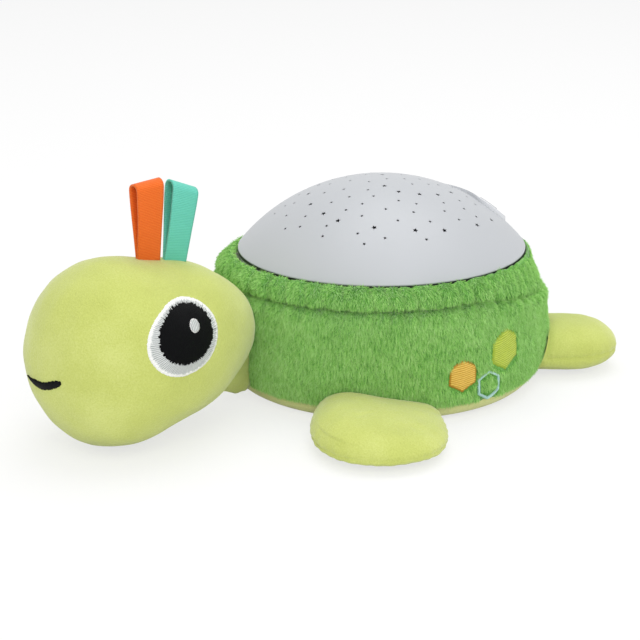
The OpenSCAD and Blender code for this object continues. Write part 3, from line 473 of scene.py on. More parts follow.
def plush_point(angle, r, z):
    """Moves a point of the plain profile to where the sewn fabric is."""
    way = outward(angle)
    flat = 1 - fullness(angle)
    channel = CHANNEL_Z - BACK_DROP * flat
    fold = gather_at(angle + 1.3 * math.sin(z / 5.0))
    if z > CHANNEL_Z:
        out, lift = collar_place(angle, r, z, flat, fold, channel)
    else:
        stretch = (channel - SAG_FROM_Z) / (CHANNEL_Z - SAG_FROM_Z)
        lift = z if z < SAG_FROM_Z else SAG_FROM_Z + (z - SAG_FROM_Z) * stretch
        out = 1.5 * flat * smooth_step(42, 54, z)
        out -= fold * WALL_FOLD * hump(z, CHANNEL_Z, 8.0)
    lean = math.cos(math.radians(angle - LEAN_TO))
    out += LEAN * lean * smooth_step(26, 50, z) - SLIM
    spot = way * (r / 30) + Vector((0, 0, lift / 30))
    out += 0.9 * noise.noise(spot * 2.0) + 0.5 * noise.noise(spot * 5.0)
    out -= CHANNEL_DEPTH * hump(z, CHANNEL_Z, 1.5)
    out -= SEAM_DEPTH * hump(z, SEAM_Z, 1.3) * (1 + 0.5 * math.sin(angle * 2.1))
    out *= smooth_step(0.5, 6, z) * min(1.0, max(0.0, (r - 70.8) / 5))
    hip = HIP * hump(abs(half_turn(angle)), *HIP_AT) * smooth_step(0, 2.5, z)
    out += hip * (1 - smooth_step(7, 20, z)) * smooth_step(66, 71, r)
    if z > CHANNEL_Z + 2:
        lip = 1.9 * hump(half_turn(angle), *OPEN) - 0.7 * hump(angle % 360, *SNUG)
        out += lip * (1 - smooth_step(71.5, 77, r))
    return way * ((r + out) * MM) + Vector((0, 0, lift * MM))


# %% Profiles of the wall, the belly and the collar, as radius and height
def edge_point(turn_deg):
    """A point of the wall's rounded lower edge, from its flat underside (0) to its side (90)."""
    a = math.radians(turn_deg)
    return BODY_R - EDGE_IN + EDGE_IN * math.sin(a), EDGE_H * (1 - math.cos(a))


def resample(line, step):
    """The same line with its points about step apart."""
    out = [line[0]]
    for (r0, z0), (r1, z1) in zip(line, line[1:]):
        n = max(1, round(math.hypot(r1 - r0, z1 - z0) / step))
        out += [(r0 + (r1 - r0) * i / n, z0 + (z1 - z0) * i / n) for i in range(1, n + 1)]
    return out


def bow(middle_r, middle_z, wide, high, angles):
    """Points of an oval's edge, from its outer side (0 degrees) to its top (90)."""
    turns = [math.radians(a) for a in angles]
    return [(middle_r + wide * math.cos(a), middle_z + high * math.sin(a)) for a in turns]


seam_turn = math.degrees(math.acos(1 - SEAM_Z / EDGE_H))
wall_line = [edge_point(seam_turn + (90 - seam_turn) * i / 10) for i in range(11)]
wall_line += bow(CHANNEL_R, SHOULDER_Z, BODY_R - CHANNEL_R, CHANNEL_Z - SHOULDER_Z, range(0, 91, 9))
wall_line = resample(wall_line, 0.9)
belly_line = [(46.0, 0.0)] + [edge_point(seam_turn * i / 10) for i in range(11)]
belly_line = resample(belly_line, 1.3)
round_z = COLLAR_TOP_Z - COLLAR_W
collar_line = [(CHANNEL_R - 1.0, CHANNEL_Z + 0.3), (COLLAR_IN_R + COLLAR_W - 0.3, round_z - 1.2)]
collar_line += bow(COLLAR_IN_R + 1.4, round_z, COLLAR_W - 1.4, COLLAR_W, range(0, 91, 6))
collar_line += [(COLLAR_IN_R + 0.5, COLLAR_TOP_Z - 0.7), (COLLAR_IN_R + 0.2, COLLAR_TOP_Z - 2.5),
                (COLLAR_IN_R + 0.4, round_z)]
collar_line = resample(collar_line, 0.9)
print("profile points:", len(wall_line), len(belly_line), len(collar_line))


# %% Spin the profiles into skins
def spin_line(name, line, steps, *materials):
    """Spins a closed profile round the dome's axis, then moves each vertex to the sewn fabric."""
    bm = bmesh.new()
    verts = [bm.verts.new((r, 0, z)) for r, z in line]
    edges = [bm.edges.new(pair) for pair in zip(verts, verts[1:] + verts[:1])]
    bmesh.ops.spin(bm, geom=verts + edges, cent=(0, 0, 0), axis=(0, 0, 1), angle=TAU, steps=steps,
                   use_merge=True)
    bmesh.ops.recalc_face_normals(bm, faces=bm.faces)
    for v in bm.verts:
        angle = math.degrees(math.atan2(v.co.x, -v.co.y)) % 360
        v.co = plush_point(angle, math.hypot(v.co.x, v.co.y), v.co.z)
    return from_bmesh(name, bm, *materials)


stuffing_line = [(r - SKIN_T - 0.6, z) for r, z in wall_line[::4] if 9 < z < 52.5]
stuffing_line += [(71.4, 51.5), (70.9, 40.0), (69.6, 22.0), (68.0, 9.0)]
wall_filling = spin_line("wall_filling", stuffing_line, 180, fibre_fill)
elastic_line = [(76.2, 51.4), (76.2, 61.4), (75.4, 61.4), (75.4, 51.4)]
elastic_loop = spin_line("elastic_loop", elastic_line, 360, elastic_cloth)
wall_back = [(r - SKIN_T, z) for r, z in reversed(wall_line[::4])]
wall_skin = spin_line("wall_skin", wall_line + wall_back, 540, green_skin)
belly_back = [(r - (0 if i == 0 else 1.0), z + SKIN_T) for i, (r, z) in enumerate(belly_line)]
# The belly wears the lime plush painted lighter, as painted light against the shade near the floor.
belly_skin = spin_line("belly_skin", belly_line + belly_back[::-1][::3], 360, lime_skin_with_painted_light)
collar_back = [(r + (0.9 if r < COLLAR_IN_R + 4 else -1.6), z - 1.4)
               for r, z in reversed(collar_line[2:-2:3])]
collar_skin = spin_line("collar_skin", collar_line + collar_back, 540, green_skin)
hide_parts("shell_wall")
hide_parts("belly_panel")
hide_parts("gathered_collar")

# %% The pocket's lining, with small wrinkles
lining_line = [(65.4 + 4.2 * i / 30, 2.7 + 50.7 * i / 30) for i in range(31)]
lining_line += resample([(70.3, 55.5), (70.7, 60.0), (71.2, 63.9)], 1.2)
lining_back = [(r + 0.6, z) for r, z in reversed(lining_line)]
lining = spin_line("pocket_cloth", lining_line + lining_back, 300, lining_cloth)
for v in lining.data.vertices:
    turned = math.atan2(v.co.x, v.co.y)
    spot = Vector((9 * math.sin(turned), 9 * math.cos(turned), v.co.z * 30))
    wrinkle = 0.5 + 0.5 * noise.noise(spot)
    v.co += Vector((v.co.x, v.co.y, 0)).normalized() * 0.4 * wrinkle * MM
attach(lining, "plush")
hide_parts("pocket_lining")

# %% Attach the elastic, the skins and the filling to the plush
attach(elastic_loop, "plush")
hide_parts("elastic_band")
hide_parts("wall_stuffing")
for piece, slot in ((wall_skin, "green_plush"), (belly_skin, "lime_plush"),
                    (collar_skin, "green_plush"), (wall_filling, "fibre_fill")):
    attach(piece, "plush")

# %% [markdown]
# ## The head and the neck
# Each is a stuffed bag of short-pile fabric. A sphere is the simplest start for the head, because
# it is closed and evenly divided, and each of its points can be sent to the place on the bag that
# it stands for. The neck is a ring that is swept forwards.

# %% Sizes of the head and its surface
HEAD_DIST, HEAD_Z, HEAD_R, HEAD_HALF, HEAD_EGG = 134.6, 42.75, 41.5, 54.7, 0.22
CROWN_DIP, CHIN_LIFT, CHEEK, BROW, NAPE = 3.4, 3.7, 0.8, 1.0, 2.2
FLOOR_GAP = 0.3    # no soft piece comes nearer to the floor than this


def head_point(x, y, z):
    """Sends a point of the unit sphere (y up, z towards the nose) to the head's surface."""
    wide = HEAD_R * (1 + HEAD_EGG * z)
    spot = Vector((x, y, z))
    swell = 0.6 * noise.noise(spot * 2.3) + 0.25 * noise.noise(spot * 6.0)
    k = 1 + swell / HEAD_R
    dip = CROWN_DIP * hump(z, -0.08, 0.33) * smooth_step(0.3, 0.9, y)
    chin = CHIN_LIFT * hump(z, -0.08, 0.34) * smooth_step(0.4, 0.9, -y)
    cheek = CHEEK * smooth_step(0.1, 0.6, z) * smooth_step(0.4, 0.8, -y)
    cheek -= BROW * smooth_step(0.2, 0.7, z) * smooth_step(-0.7, -0.2, y)
    nape = NAPE * smooth_step(0.3, 0.8, -z) * smooth_step(-0.3, 0.5, -y)
    return Vector(((wide * k + cheek - nape) * x, -HEAD_DIST - z * (HEAD_HALF * k + cheek),
                   HEAD_Z + y * (wide * k + cheek) - dip + chin))


# %% Keep a piece out of the wall that it is sewn to
def wall_radius(z):
    """The plain body's radius at a height."""
    if z >= EDGE_H:
        return BODY_R
    return edge_point(math.degrees(math.acos(1 - max(0.0, z) / EDGE_H)))[0]


def keep_clear(p, gap=0.6):
    """Pushes a point out of the body's wall, along the radius."""
    r = math.hypot(p.x, p.y)
    least = wall_radius(p.z) + gap
    return Vector((p.x * least / r, p.y * least / r, p.z)) if r < least else p


# %% Head
head_bm = bmesh.new()
bmesh.ops.create_uvsphere(head_bm, u_segments=240, v_segments=130, radius=1)
for v in head_bm.verts:
    p = keep_clear(head_point(*v.co))
    p.z = max(p.z, FLOOR_GAP)
    v.co = p * MM
bmesh.ops.recalc_face_normals(head_bm, faces=head_bm.faces)
head = from_bmesh("head_plush", head_bm, lime_skin)
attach(head, "plush")
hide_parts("head")

# %% Neck
NECK_STEPS, NECK_LONG, NECK_FROM, NECK_Z = 12, 26, 78.5, 30


def verts_in(geom):
    return [g for g in geom if isinstance(g, bmesh.types.BMVert)]


def sweep(bm, edges, step, times):
    """Extrudes a row of edges again and again, each time by one step."""
    for _ in range(times):
        swept = bmesh.ops.extrude_edge_only(bm, edges=edges)["geom"]
        edges = [g for g in swept if isinstance(g, bmesh.types.BMEdge)]
        bmesh.ops.translate(bm, verts=verts_in(swept), vec=step)


neck_bm = bmesh.new()
bmesh.ops.create_circle(neck_bm, segments=72, radius=1)
sweep(neck_bm, neck_bm.edges[:], (0, 0, 1), NECK_STEPS)
bmesh.ops.holes_fill(neck_bm, edges=[e for e in neck_bm.edges if e.is_boundary])
for v in neck_bm.verts:
    share = v.co.z / NECK_STEPS
    out = share * NECK_LONG
    bulge = 1 + 0.08 * math.sin(share * 5) + 0.05 * noise.noise(v.co * 1.7)
    v.co = Vector((v.co.x * (4.6 + 0.3 * out) * bulge - 3.2 * (1 - share), -NECK_FROM - out,
                   NECK_Z + v.co.y * (23.5 - 0.25 * out) * bulge)) * MM
bmesh.ops.recalc_face_normals(neck_bm, faces=neck_bm.faces)
neck = from_bmesh("neck_plush", neck_bm, lime_skin)
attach(neck, "plush")

# %% [markdown]
# ## The flippers and the feet
# A limb is two flat shapes sewn together, turned and stuffed, so it has a seam round its edge. It
# starts as a sphere, flattened into a pad that the body's wall cuts off. A cloth simulation with
# pressure blows it up between its seams, and then the seam is drawn in, with its puckers.

# %% Sizes of the limbs
ROUND_L = 32.5      # the length of a limb's rounded outer part
ROOT_R = 62         # the radius at which its straight part would end, inside the wall
PUFF_CAP = 2.5      # how far the cloth simulation may move a point
PUCKERS = 31        # puckers round a limb's seam
# tip: its distance from the axis. left and right: its half widths, seen from the tip's side.
# high, seam and low: the heights of its top, seam and underside. bluff: how full its upper edge is.
# slope: how far its top falls towards its rear side.
FLIPPER = {"angle": 51, "tip": 134.4, "left": 31.5, "right": 29.8, "high": 20.6, "seam": 6.4,
           "low": 0.3, "bluff": 0.22, "slope": 6.0}
FOOT = {"angle": 143, "tip": 117.6, "left": 22.5, "right": 22.5, "high": 24.6, "seam": 11.5,
        "low": 1.0, "bluff": 0.36, "slope": 0.0}
print("limbs reach", FLIPPER["tip"], "and", FOOT["tip"], "mm from the axis")


# %% The bag before it is stuffed
def bag_point(x, y, z, middle, left, right, high, seam, low, bluff, slope):
    """Sends a point of the unit sphere to the bag: how far along the limb, across it and up."""
    level = math.sqrt(max(0.0, 1 - z * z))
    pole = level <= 0.02
    spread = 1.0 if pole else level ** (-bluff if z > 0 else -0.2)
    c, n = (0.0, 0.0) if pole else (x / level, y / level)
    half = right if y > 0 else left
    if x > 0:
        along = ROUND_L * c ** 0.9 * level * spread
        across = half * math.copysign(abs(n) ** 0.9, n) * level * spread
        across *= 1 - (0.02 * slope * c * (1 if z < 0.5 else 0.5) if y < 0 else 0)
    else:
        along = (middle - ROOT_R) * c * level * spread
        widen = 1 + (0.06 if y < 0 else -0.12) * abs(c)
        across = half * math.copysign(abs(n) ** 0.45, n) * widen * level * spread
    fall = slope * smooth_step(-24, 16, across) * (1 - 0.3 * max(0.0, along) / ROUND_L)
    up = seam + ((high - fall - seam) * z if z > 0 else (seam - low) * z)
    return along, across, up


def cut_bag(name, way, side, middle, **sizes):
    """Makes the flat bag, and says which of its vertices are sewn: its seam and its root."""
    bm = bmesh.new()
    bmesh.ops.create_uvsphere(bm, u_segments=96, v_segments=48, radius=1)
    held = []
    for index, v in enumerate(bm.verts):
        seam_line = abs(v.co.z) < 0.02
        along, across, up = bag_point(*v.co, middle, **sizes)
        p = keep_clear(way * (middle + along) + side * across + Vector((0, 0, up)))
        if seam_line or math.hypot(p.x, p.y) < wall_radius(p.z) + 0.65:
            held.append(index)
        v.co = p * MM
    bmesh.ops.recalc_face_normals(bm, faces=bm.faces)
    return from_bmesh(name, bm, lime_skin), held


# %% Stuff a bag, and sew its seam
def puffed(piece, held, cap, pressure=4.0, frames=20):
    """Blows a bag of cloth up, with its seams held, and lets no point move further than cap."""
    group = piece.vertex_groups.new(name="seams")
    group.add(held, 1.0, "REPLACE")
    cloth = piece.modifiers.new("cloth", "CLOTH")
    cloth.settings.vertex_group_mass = group.name
    cloth.settings.use_pressure = True
    cloth.settings.uniform_pressure_force = pressure
    cloth.settings.effector_weights.gravity = 0
    cloth.collision_settings.use_collision = False
    scene = bpy.context.scene
    for frame_number in range(1, frames + 1):
        scene.frame_set(frame_number)
    blown = piece.evaluated_get(bpy.context.evaluated_depsgraph_get()).data
    moved = 0.0
    for v, after in zip(piece.data.vertices, blown.vertices):
        step = after.co - v.co
        if step.length > cap * MM:
            step *= cap * MM / step.length
        moved = max(moved, step.length)
        v.co += step
    piece.modifiers.remove(cloth)
    piece.vertex_groups.remove(group)
    scene.frame_set(1)
    print(f"{piece.name}: cloth moved it by up to {moved / MM:.1f} mm")


def sew_seam(piece, angle, way, side, middle, seam):
    """Draws the seam in, puckers the fabric near it, and makes the stuffing a little uneven."""
    bm = bmesh.new()
    bm.from_mesh(piece.data)
    bmesh.ops.subdivide_edges(bm, edges=bm.edges[:], cuts=1, use_grid_fill=True, smooth=0.6)
    for v in bm.verts:
        p = v.co / MM
        spot = p / 22 + Vector((angle, 0, 0))
        pull = hump(p.z, seam, 1.1)
        free = smooth_step(0.4, 4.0, math.hypot(p.x, p.y) - wall_radius(p.z))
        towards = math.atan2(side.dot(p), way.dot(p) - middle)
        pucker = 0.5 + 0.5 * math.sin(towards * PUCKERS + 3 * noise.noise(spot * 2))
        swell = 0.9 * noise.noise(spot) + 0.35 * noise.noise(spot * 3.1)
        near = hump(p.z, seam, 4.0) * 0.35 * pucker
        p += v.normal * free * (swell * (1 - pull) - 0.75 * pull - near)
        p.z = max(p.z, FLOOR_GAP)
        v.co = keep_clear(p) * MM
    bm.to_mesh(piece.data)
    bm.free()
    piece.data.shade_smooth()


# %% Fillings
def filling_of(piece, name, node, turn_deg=0.0, depth=2.4):
    """The stuffing in a bag: the bag's own shape, drawn in by depth on every side. A bag that
    stands at an angle is turned straight first, and back again after it."""
    mesh = piece.data.copy()
    mesh.transform(Matrix.Rotation(math.radians(-turn_deg), 4, "Z"))
    for axis in range(3):
        places = [v.co[axis] for v in mesh.vertices]
        low, high = min(places), max(places)
        middle, share = (low + high) / 2, 1 - 2 * depth * MM / (high - low)
        for v in mesh.vertices:
            v.co[axis] = middle + (v.co[axis] - middle) * share
    mesh.transform(Matrix.Rotation(math.radians(turn_deg), 4, "Z"))
    mesh.materials.clear()
    filling = add_object(name, mesh, fibre_fill)
    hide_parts(node)
    print(f"{name}: drawn in by {depth} mm")
    return filling


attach(filling_of(head, "head_filling", "head_stuffing"), "plush")


# %% Flippers and feet
def limb(body, kind, angle, tip, seam, **sizes):
    """A stuffed limb of one body, with its filling."""
    way = outward(angle)
    side = Vector((-way.y, way.x, 0)) * (1 if angle > 0 else -1)
    middle = tip - ROUND_L
    piece, held = cut_bag(f"{body}_plush", way, side, middle, seam=seam, **sizes)
    puffed(piece, held, PUFF_CAP)
    sew_seam(piece, angle, way, side, middle, seam)
    filling = filling_of(piece, f"{body}_filling", f"{body}_stuffing", angle)
    for part in (piece, filling):
        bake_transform(part)
    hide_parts(f"{body}_{kind}")


for end, kind, sizes in (("front", "flipper", FLIPPER), ("rear", "foot", FOOT)):
    limb(f"{end}_left", kind, **sizes)
    limb(f"{end}_right", kind, **{**sizes, "angle": -sizes["angle"]})

# %% [markdown]
# ## Embroidery
# An embroidered shape is a low cushion of threads that follows the fabric below it. Each shape is
# made flat, as rings round its middle, and is then laid on the fabric by shooting a ray at it from
# outside. The rim is uneven, because the threads end at slightly different places.

# %% Flat shapes, their thread map and their back
STITCHES = 264    # ends of threads round a shape
SUNK_RIM = 0.5    # how deep a shape's rim goes into the fabric


def rings_of(start, rings):
    """A flat disc of rings, or a band of them where start isn't 0."""
    bm = bmesh.new()
    line = [bm.verts.new((start + i, 0, 0)) for i in range(rings + 1)]
    edges = [bm.edges.new(pair) for pair in zip(line, line[1:])]
    bmesh.ops.spin(bm, geom=line + edges, cent=(0, 0, 0), axis=(0, 0, 1), angle=TAU,
                   steps=STITCHES, use_merge=True)
    bmesh.ops.remove_doubles(bm, verts=bm.verts, dist=1e-4)
    return bm


def map_threads(bm, flat, turn=0.0):
    """Writes each vertex's flat place, in millimetres, to the map that the threads follow."""
    threads = bm.loops.layers.uv.new("threads")
    c, n = math.cos(turn), math.sin(turn)
    for face in bm.faces:
        for loop in face.loops:
            s, t = flat[loop.vert]
            loop[threads].uv = (s * c + t * n, t * c - s * n)


def sewn_down(name, bm, toward, material, is_band=False):
    """Turns a laid shape outwards, sinks its rim into the fabric and closes its back."""
    bmesh.ops.recalc_face_normals(bm, faces=bm.faces)
    if max(bm.faces, key=lambda f: f.calc_area()).normal.dot(toward) > 0:
        bmesh.ops.reverse_faces(bm, faces=bm.faces)
    rim = [e for e in bm.edges if e.is_boundary]
    for v in verts_in(bmesh.ops.extrude_edge_only(bm, edges=rim)["geom"]):
        v.co += toward * SUNK_RIM * MM
    if not is_band:
        bmesh.ops.holes_fill(bm, edges=[e for e in bm.edges if e.is_boundary])
    bmesh.ops.recalc_face_normals(bm, faces=bm.faces)
    return from_bmesh(name, bm, material)


# %% Lay a flat shape on a surface
def tree_of(*objects):
    """The surface of some objects, in a form that rays can be shot at."""
    bm = bmesh.new()
    for obj in objects:
        bm.from_mesh(obj.data)
    made = BVHTree.FromBMesh(bm)
    bm.free()
    return made


def embroidered(name, outline, rings, skin, eye_of, toward, height, ragged, material, seed,
                hole=None, turn_threads=0.0, radial=False):
    """outline(angle) gives the shape's radius in its own plane, and hole(angle) that of a hole in
    its middle. eye_of(s, t) is the point that a ray leaves from, and toward is its direction.
    height is the cushion's, ragged is how uneven its rim is, and radial threads run outwards."""
    random.seed(seed)
    rough = [1 + ragged * random.uniform(-1, 1) / outline(i * TAU / STITCHES)
             for i in range(STITCHES)]
    start = 1.0 if hole else 0.0
    bm = rings_of(start, rings)
    edge = bm.verts.layers.float.new("edge")
    flat = {}
    for v in bm.verts:
        share = (math.hypot(v.co.x, v.co.y) - start) / rings
        v[edge] = share
        turned = math.atan2(v.co.y, v.co.x) % TAU
        stitch = rough[round(turned / TAU * STITCHES) % STITCHES]
        outer = outline(turned) * (stitch if share > 0.99 else 1.0)
        inside = hole(turned) if hole else 0.0
        radius = inside + (outer - inside) * share
        s, t = radius * math.cos(turned), radius * math.sin(turned)
        hit, normal, _, _ = skin.ray_cast(Vector(eye_of(s, t)) * MM, toward)
        if hit is None:
            raise RuntimeError(f"{name} misses the fabric at {s:.1f}, {t:.1f}")
        flat[v] = (turned * 18, radius) if radial else (s, t)
        rise = height * (1 - (abs(2 * share - 1) ** 4 if hole else share ** 6))
        v.co = hit + normal * ((rise + 0.12) * MM)
    map_threads(bm, flat, turn_threads)
    return sewn_down(name, bm, toward, material, is_band=bool(hole))


# %% Eyes
def oval(half_l, half_h, turn_deg):
    """The radius of an oval at an angle, its long way turned by turn_deg."""
    def radius(angle):
        a = angle - math.radians(turn_deg)
        return half_l * half_h / math.hypot(half_h * math.cos(a), half_l * math.sin(a))
    return radius


def beside_head(side, forward, up):
    """Where a ray at the side of the head starts: s runs backwards, t upwards from the middle."""
    return lambda s, t: (side * 90, -HEAD_DIST - forward + s, HEAD_Z + up + t)


# From the lowest layer up: word, outline, rings, place (forward, up), height, how ragged its rim
# is, thread, slot and node
EYE_LAYERS = [
    ("white", oval(19.1, 14.7, 13), 16, (3.3, 12.8), 0.7, 0.15, white_stitch,
     "white_thread", "eye_whites"),
    ("pupil", oval(14.6, 11.5, 9), 12, (2.5, 14.5), 0.35, 0.6, black_stitch,
     "black_thread", "eye_pupils"),
    ("glint", oval(2.6, 2.6, 90), 6, (-1.6, 17.4), 0.3, 0.25, white_stitch,
     "white_thread", "eye_highlights"),
]
head_tree = tree_of(head)
for side, word in ((1, "left"), (-1, "right")):
    below, seed = head_tree, 3
    for layer, outline, rings, place, height, ragged, thread, slot, node in EYE_LAYERS:
        piece = embroidered(f"{word}_eye_{layer}", outline, rings, below, beside_head(side, *place),
                            Vector((-side, 0, 0)), height, ragged, thread, seed,
                            radial=layer == "white")
        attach(piece, "plush")
        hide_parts(node)
        below, seed = tree_of(piece), seed + 1

# %% Smile
MOUTH_MIDDLE, MOUTH_LEFT, MOUTH_RIGHT = 2.5, 13.5, 11.2    # its middle and its two reaches
MOUTH_LOW, MOUTH_RISE, RIGHT_SHARE, MOUTH_W = -6.8, 4.2, 0.3, 3.5
COLUMNS, ROWS = 110, 8
random.seed(6)
jitter = [(random.uniform(-0.3, 0.3), random.uniform(-0.3, 0.3)) for _ in range(COLUMNS + 1)]
smile_bm = bmesh.new()
bmesh.ops.create_grid(smile_bm, x_segments=COLUMNS, y_segments=ROWS, size=1)
spots = {}
for v in smile_bm.verts:
    along, over = v.co.x, v.co.y
    x = MOUTH_MIDDLE + along * (MOUTH_LEFT if along > 0 else MOUTH_RIGHT)
    end = math.sqrt(max(0.0, 1 - abs(along) ** 6))
    taper = (0.3 + 0.7 * end) * (0.12 + 0.88 * smooth_step(-1.0, -0.1, along))
    uneven = jitter[round((along + 1) / 2 * COLUMNS)][0 if over > 0 else 1] * abs(over)
    rise = MOUTH_RISE * (1 if along > 0 else RIGHT_SHARE) * abs(along) ** 1.5
    up = MOUTH_LOW + rise + over * ((MOUTH_W / 2 + uneven) * taper)
    hit, normal, _, _ = head_tree.ray_cast(Vector((x, -260, HEAD_Z + up)) * MM, Vector((0, 1, 0)))
    spots[v] = (x, up)
    v.co = hit + normal * ((0.15 + 0.55 * (1 - over ** 4)) * MM)
map_threads(smile_bm, spots)
smile = sewn_down("smile", smile_bm, Vector((0, 1, 0)), black_stitch)
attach(smile, "plush")
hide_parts("mouth_stitch")


# %% Hexagons on the flanks
def hexagon(radius):
    """The radius of a hexagon that stands on a corner, with slightly rounded corners."""
    def at_angle(angle):
        a = (angle - math.pi / 2) % (math.pi / 3) - math.pi / 6
        return min(radius * math.cos(math.pi / 6) / math.cos(a), radius * 0.985)
    return at_angle


# Name, angle, height of its middle, radius, thread, slot, node, radius of its hole, height
PATCHES = [
    ("orange_hexagon", 78.2, 22.3, 8.1, orange_stitch, "orange_thread", "patch_orange", None, 0.9),
    ("lime_hexagon", 95.7, 30.3, 10.2, lime_stitch, "lime_thread", "patch_lime", None, 0.9),
    ("blue_hexagon", 88.2, 15.2, 7.2, blue_stitch, "blue_thread", "patch_outline", 5.9, 0.8),
]
wall_tree = tree_of(wall_skin, belly_skin)
for side, word in ((1, "left"), (-1, "right")):
    for name, angle, z, radius, thread, slot, node, gap, height in PATCHES:
        way = outward(angle * side)
        across = Vector((-way.y, way.x, 0))
        piece = embroidered(f"{word}_{name}", hexagon(radius), 10, wall_tree,
                            lambda s, t: way * 110 + across * s + Vector((0, 0, z + t)), -way,
                            height, 0.4, thread, 20 + angle, hole=hexagon(gap) if gap else None,
                            turn_threads=math.radians(8))
        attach(piece, "plush")
        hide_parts(node)

# %% [markdown]
# ## Pile
# The long green pile is made of real fibres: points are scattered on the skin, a thin cone is stood
# on each, and it is laid over in the direction that the fabric was brushed, with a wandering tilt
# so that neighbours clump. Geometry Nodes does this in a second for tens of thousands of them. A
# longer and a shorter set stand together on the wall, because a real pile isn't even.

# %% Sizes of the pile
# thick: a fibre's width at its root. stand: how steeply it stands. ruffle and clump: how far the
# wandering tilt goes, and how quickly it wanders.
LONG_PILE = {"count": 47600, "length": 2.6, "thick": 0.4, "stand": 0.42, "ruffle": 0.16,
             "clump": 140.0}
SHORT_PILE = {"count": 47600, "length": 2.2, "thick": 0.34, "stand": 0.55, "ruffle": 0.22,
              "clump": 140.0}
COLLAR_PILE = {"count": 43200, "length": 2.0, "thick": 0.38, "stand": 0.6, "ruffle": 0.36,
               "clump": 260.0}
print("fibres asked for:", 4 * LONG_PILE["count"] + COLLAR_PILE["count"])


# %% Prepare a skin: the way it is brushed, and where fibres grow
def pile_ground(skin, room):
    """A copy of a skin's mesh with the attributes lay and room, and the area where fibres grow."""
    mesh = skin.data.copy()
    brushed, rooms = [], []
    for v in mesh.vertices:
        n = v.normal
        down = Vector((n.x * 0.35, n.y * 0.35, -1))
        down -= n * down.dot(n)
        brushed.extend(down.normalized() if down.length > 1e-6 else Vector((1, 0, 0)))
        rooms.append(room(v.co / MM, n))
    mesh.attributes.new("lay", "FLOAT_VECTOR", "POINT").data.foreach_set("vector", brushed)
    mesh.attributes.new("room", "FLOAT", "POINT").data.foreach_set("value", rooms)
    return mesh, sum(p.area * min(rooms[i] for i in p.vertices) for p in mesh.polygons)


# %% Nodes that lay one fibre
def vectors(tree, operation, first, second):
    """The result of one step of arithmetic on vectors, or of scaling one by a number."""
    links = {0: first, "Scale" if operation == "SCALE" else 1: second}
    return put(tree, "ShaderNodeVectorMath", links, operation=operation).outputs[0]


def named(tree, name, kind):
    made = put(tree, "GeometryNodeInputNamedAttribute", {"Name": name}, data_type=kind)
    return made.outputs["Attribute"]


def fibre_cone(tree, length, thick):
    """A thin cone of three sides, whose attribute along runs from 0 at its root to 1 at its tip."""
    cone = put(tree, "GeometryNodeMeshCone", {"Vertices": 3, "Radius Bottom": thick / 2 * MM,
                                              "Radius Top": 0.0, "Depth": length * MM})
    place = put(tree, "GeometryNodeInputPosition").outputs[0]
    split = put(tree, "ShaderNodeSeparateXYZ", {0: place})
    share = maths(tree, "DIVIDE", split.outputs["Z"], length * MM)
    links = {"Geometry": cone.outputs["Mesh"], "Name": "along", "Value": share}
    return put(tree, "GeometryNodeStoreNamedAttribute", links, data_type="FLOAT",
               domain="POINT").outputs[0]


def fibre_turn(tree, normal, stand, ruffle, clump, seed):
    """The rotation of a fibre: up from the skin, over as it is brushed, and a little astray."""
    place = put(tree, "GeometryNodeInputPosition").outputs[0]
    wander = put(tree, "ShaderNodeTexNoise", {"Vector": place, "Scale": clump, "Detail": 2.0})
    middle = vectors(tree, "SUBTRACT", wander.outputs["Color"], (0.5, 0.5, 0.5))
    stray = put(tree, "FunctionNodeRandomValue", {"Min": (-0.3, -0.3, -0.3), "Max": (0.3, 0.3, 0.3),
                                                  "Seed": seed}, data_type="FLOAT_VECTOR")
    way = vectors(tree, "SCALE", normal, stand)
    for part in (named(tree, "lay", "FLOAT_VECTOR"), vectors(tree, "SCALE", middle, ruffle * 4),
                 stray.outputs["Value"]):
        way = vectors(tree, "ADD", way, part)
    return put(tree, "FunctionNodeAlignRotationToVector", {"Vector": way}, axis="Z").outputs[0]


# %% Scatter the fibres
def pile_nodes(name, density, seed, length, thick, stand, ruffle, clump, material):
    group = bpy.data.node_groups.new(name, "GeometryNodeTree")
    for way in ("INPUT", "OUTPUT"):
        group.interface.new_socket("Geometry", in_out=way, socket_type="NodeSocketGeometry")
    grows = put(group, "FunctionNodeCompare", {"A": named(group, "room", "FLOAT"), "B": 0.5},
                data_type="FLOAT", operation="GREATER_THAN")
    points = put(group, "GeometryNodeDistributePointsOnFaces",
                 {"Mesh": put(group, "NodeGroupInput").outputs[0], "Density": density, "Seed": seed,
                  "Selection": grows.outputs["Result"]})
    turned = fibre_turn(group, points.outputs["Normal"], stand, ruffle, clump, seed + 1)
    size = put(group, "FunctionNodeRandomValue", {"Min": 0.7, "Max": 1.2, "Seed": seed + 2},
               data_type="FLOAT")
    stood = put(group, "GeometryNodeInstanceOnPoints",
                {"Points": points.outputs["Points"], "Instance": fibre_cone(group, length, thick),
                 "Rotation": turned, "Scale": size.outputs[1]})
    tone = put(group, "FunctionNodeRandomValue", {"Seed": seed + 3}, data_type="FLOAT")
    links = {"Geometry": stood.outputs[0], "Name": "strand", "Value": tone.outputs[1]}
    toned = put(group, "GeometryNodeStoreNamedAttribute", links, data_type="FLOAT",
                domain="INSTANCE")
    real = put(group, "GeometryNodeRealizeInstances", {0: toned.outputs[0]})
    coloured = put(group, "GeometryNodeSetMaterial", {0: real.outputs[0], "Material": material})
    put(group, "NodeGroupOutput", {0: coloured.outputs[0]})
    return group


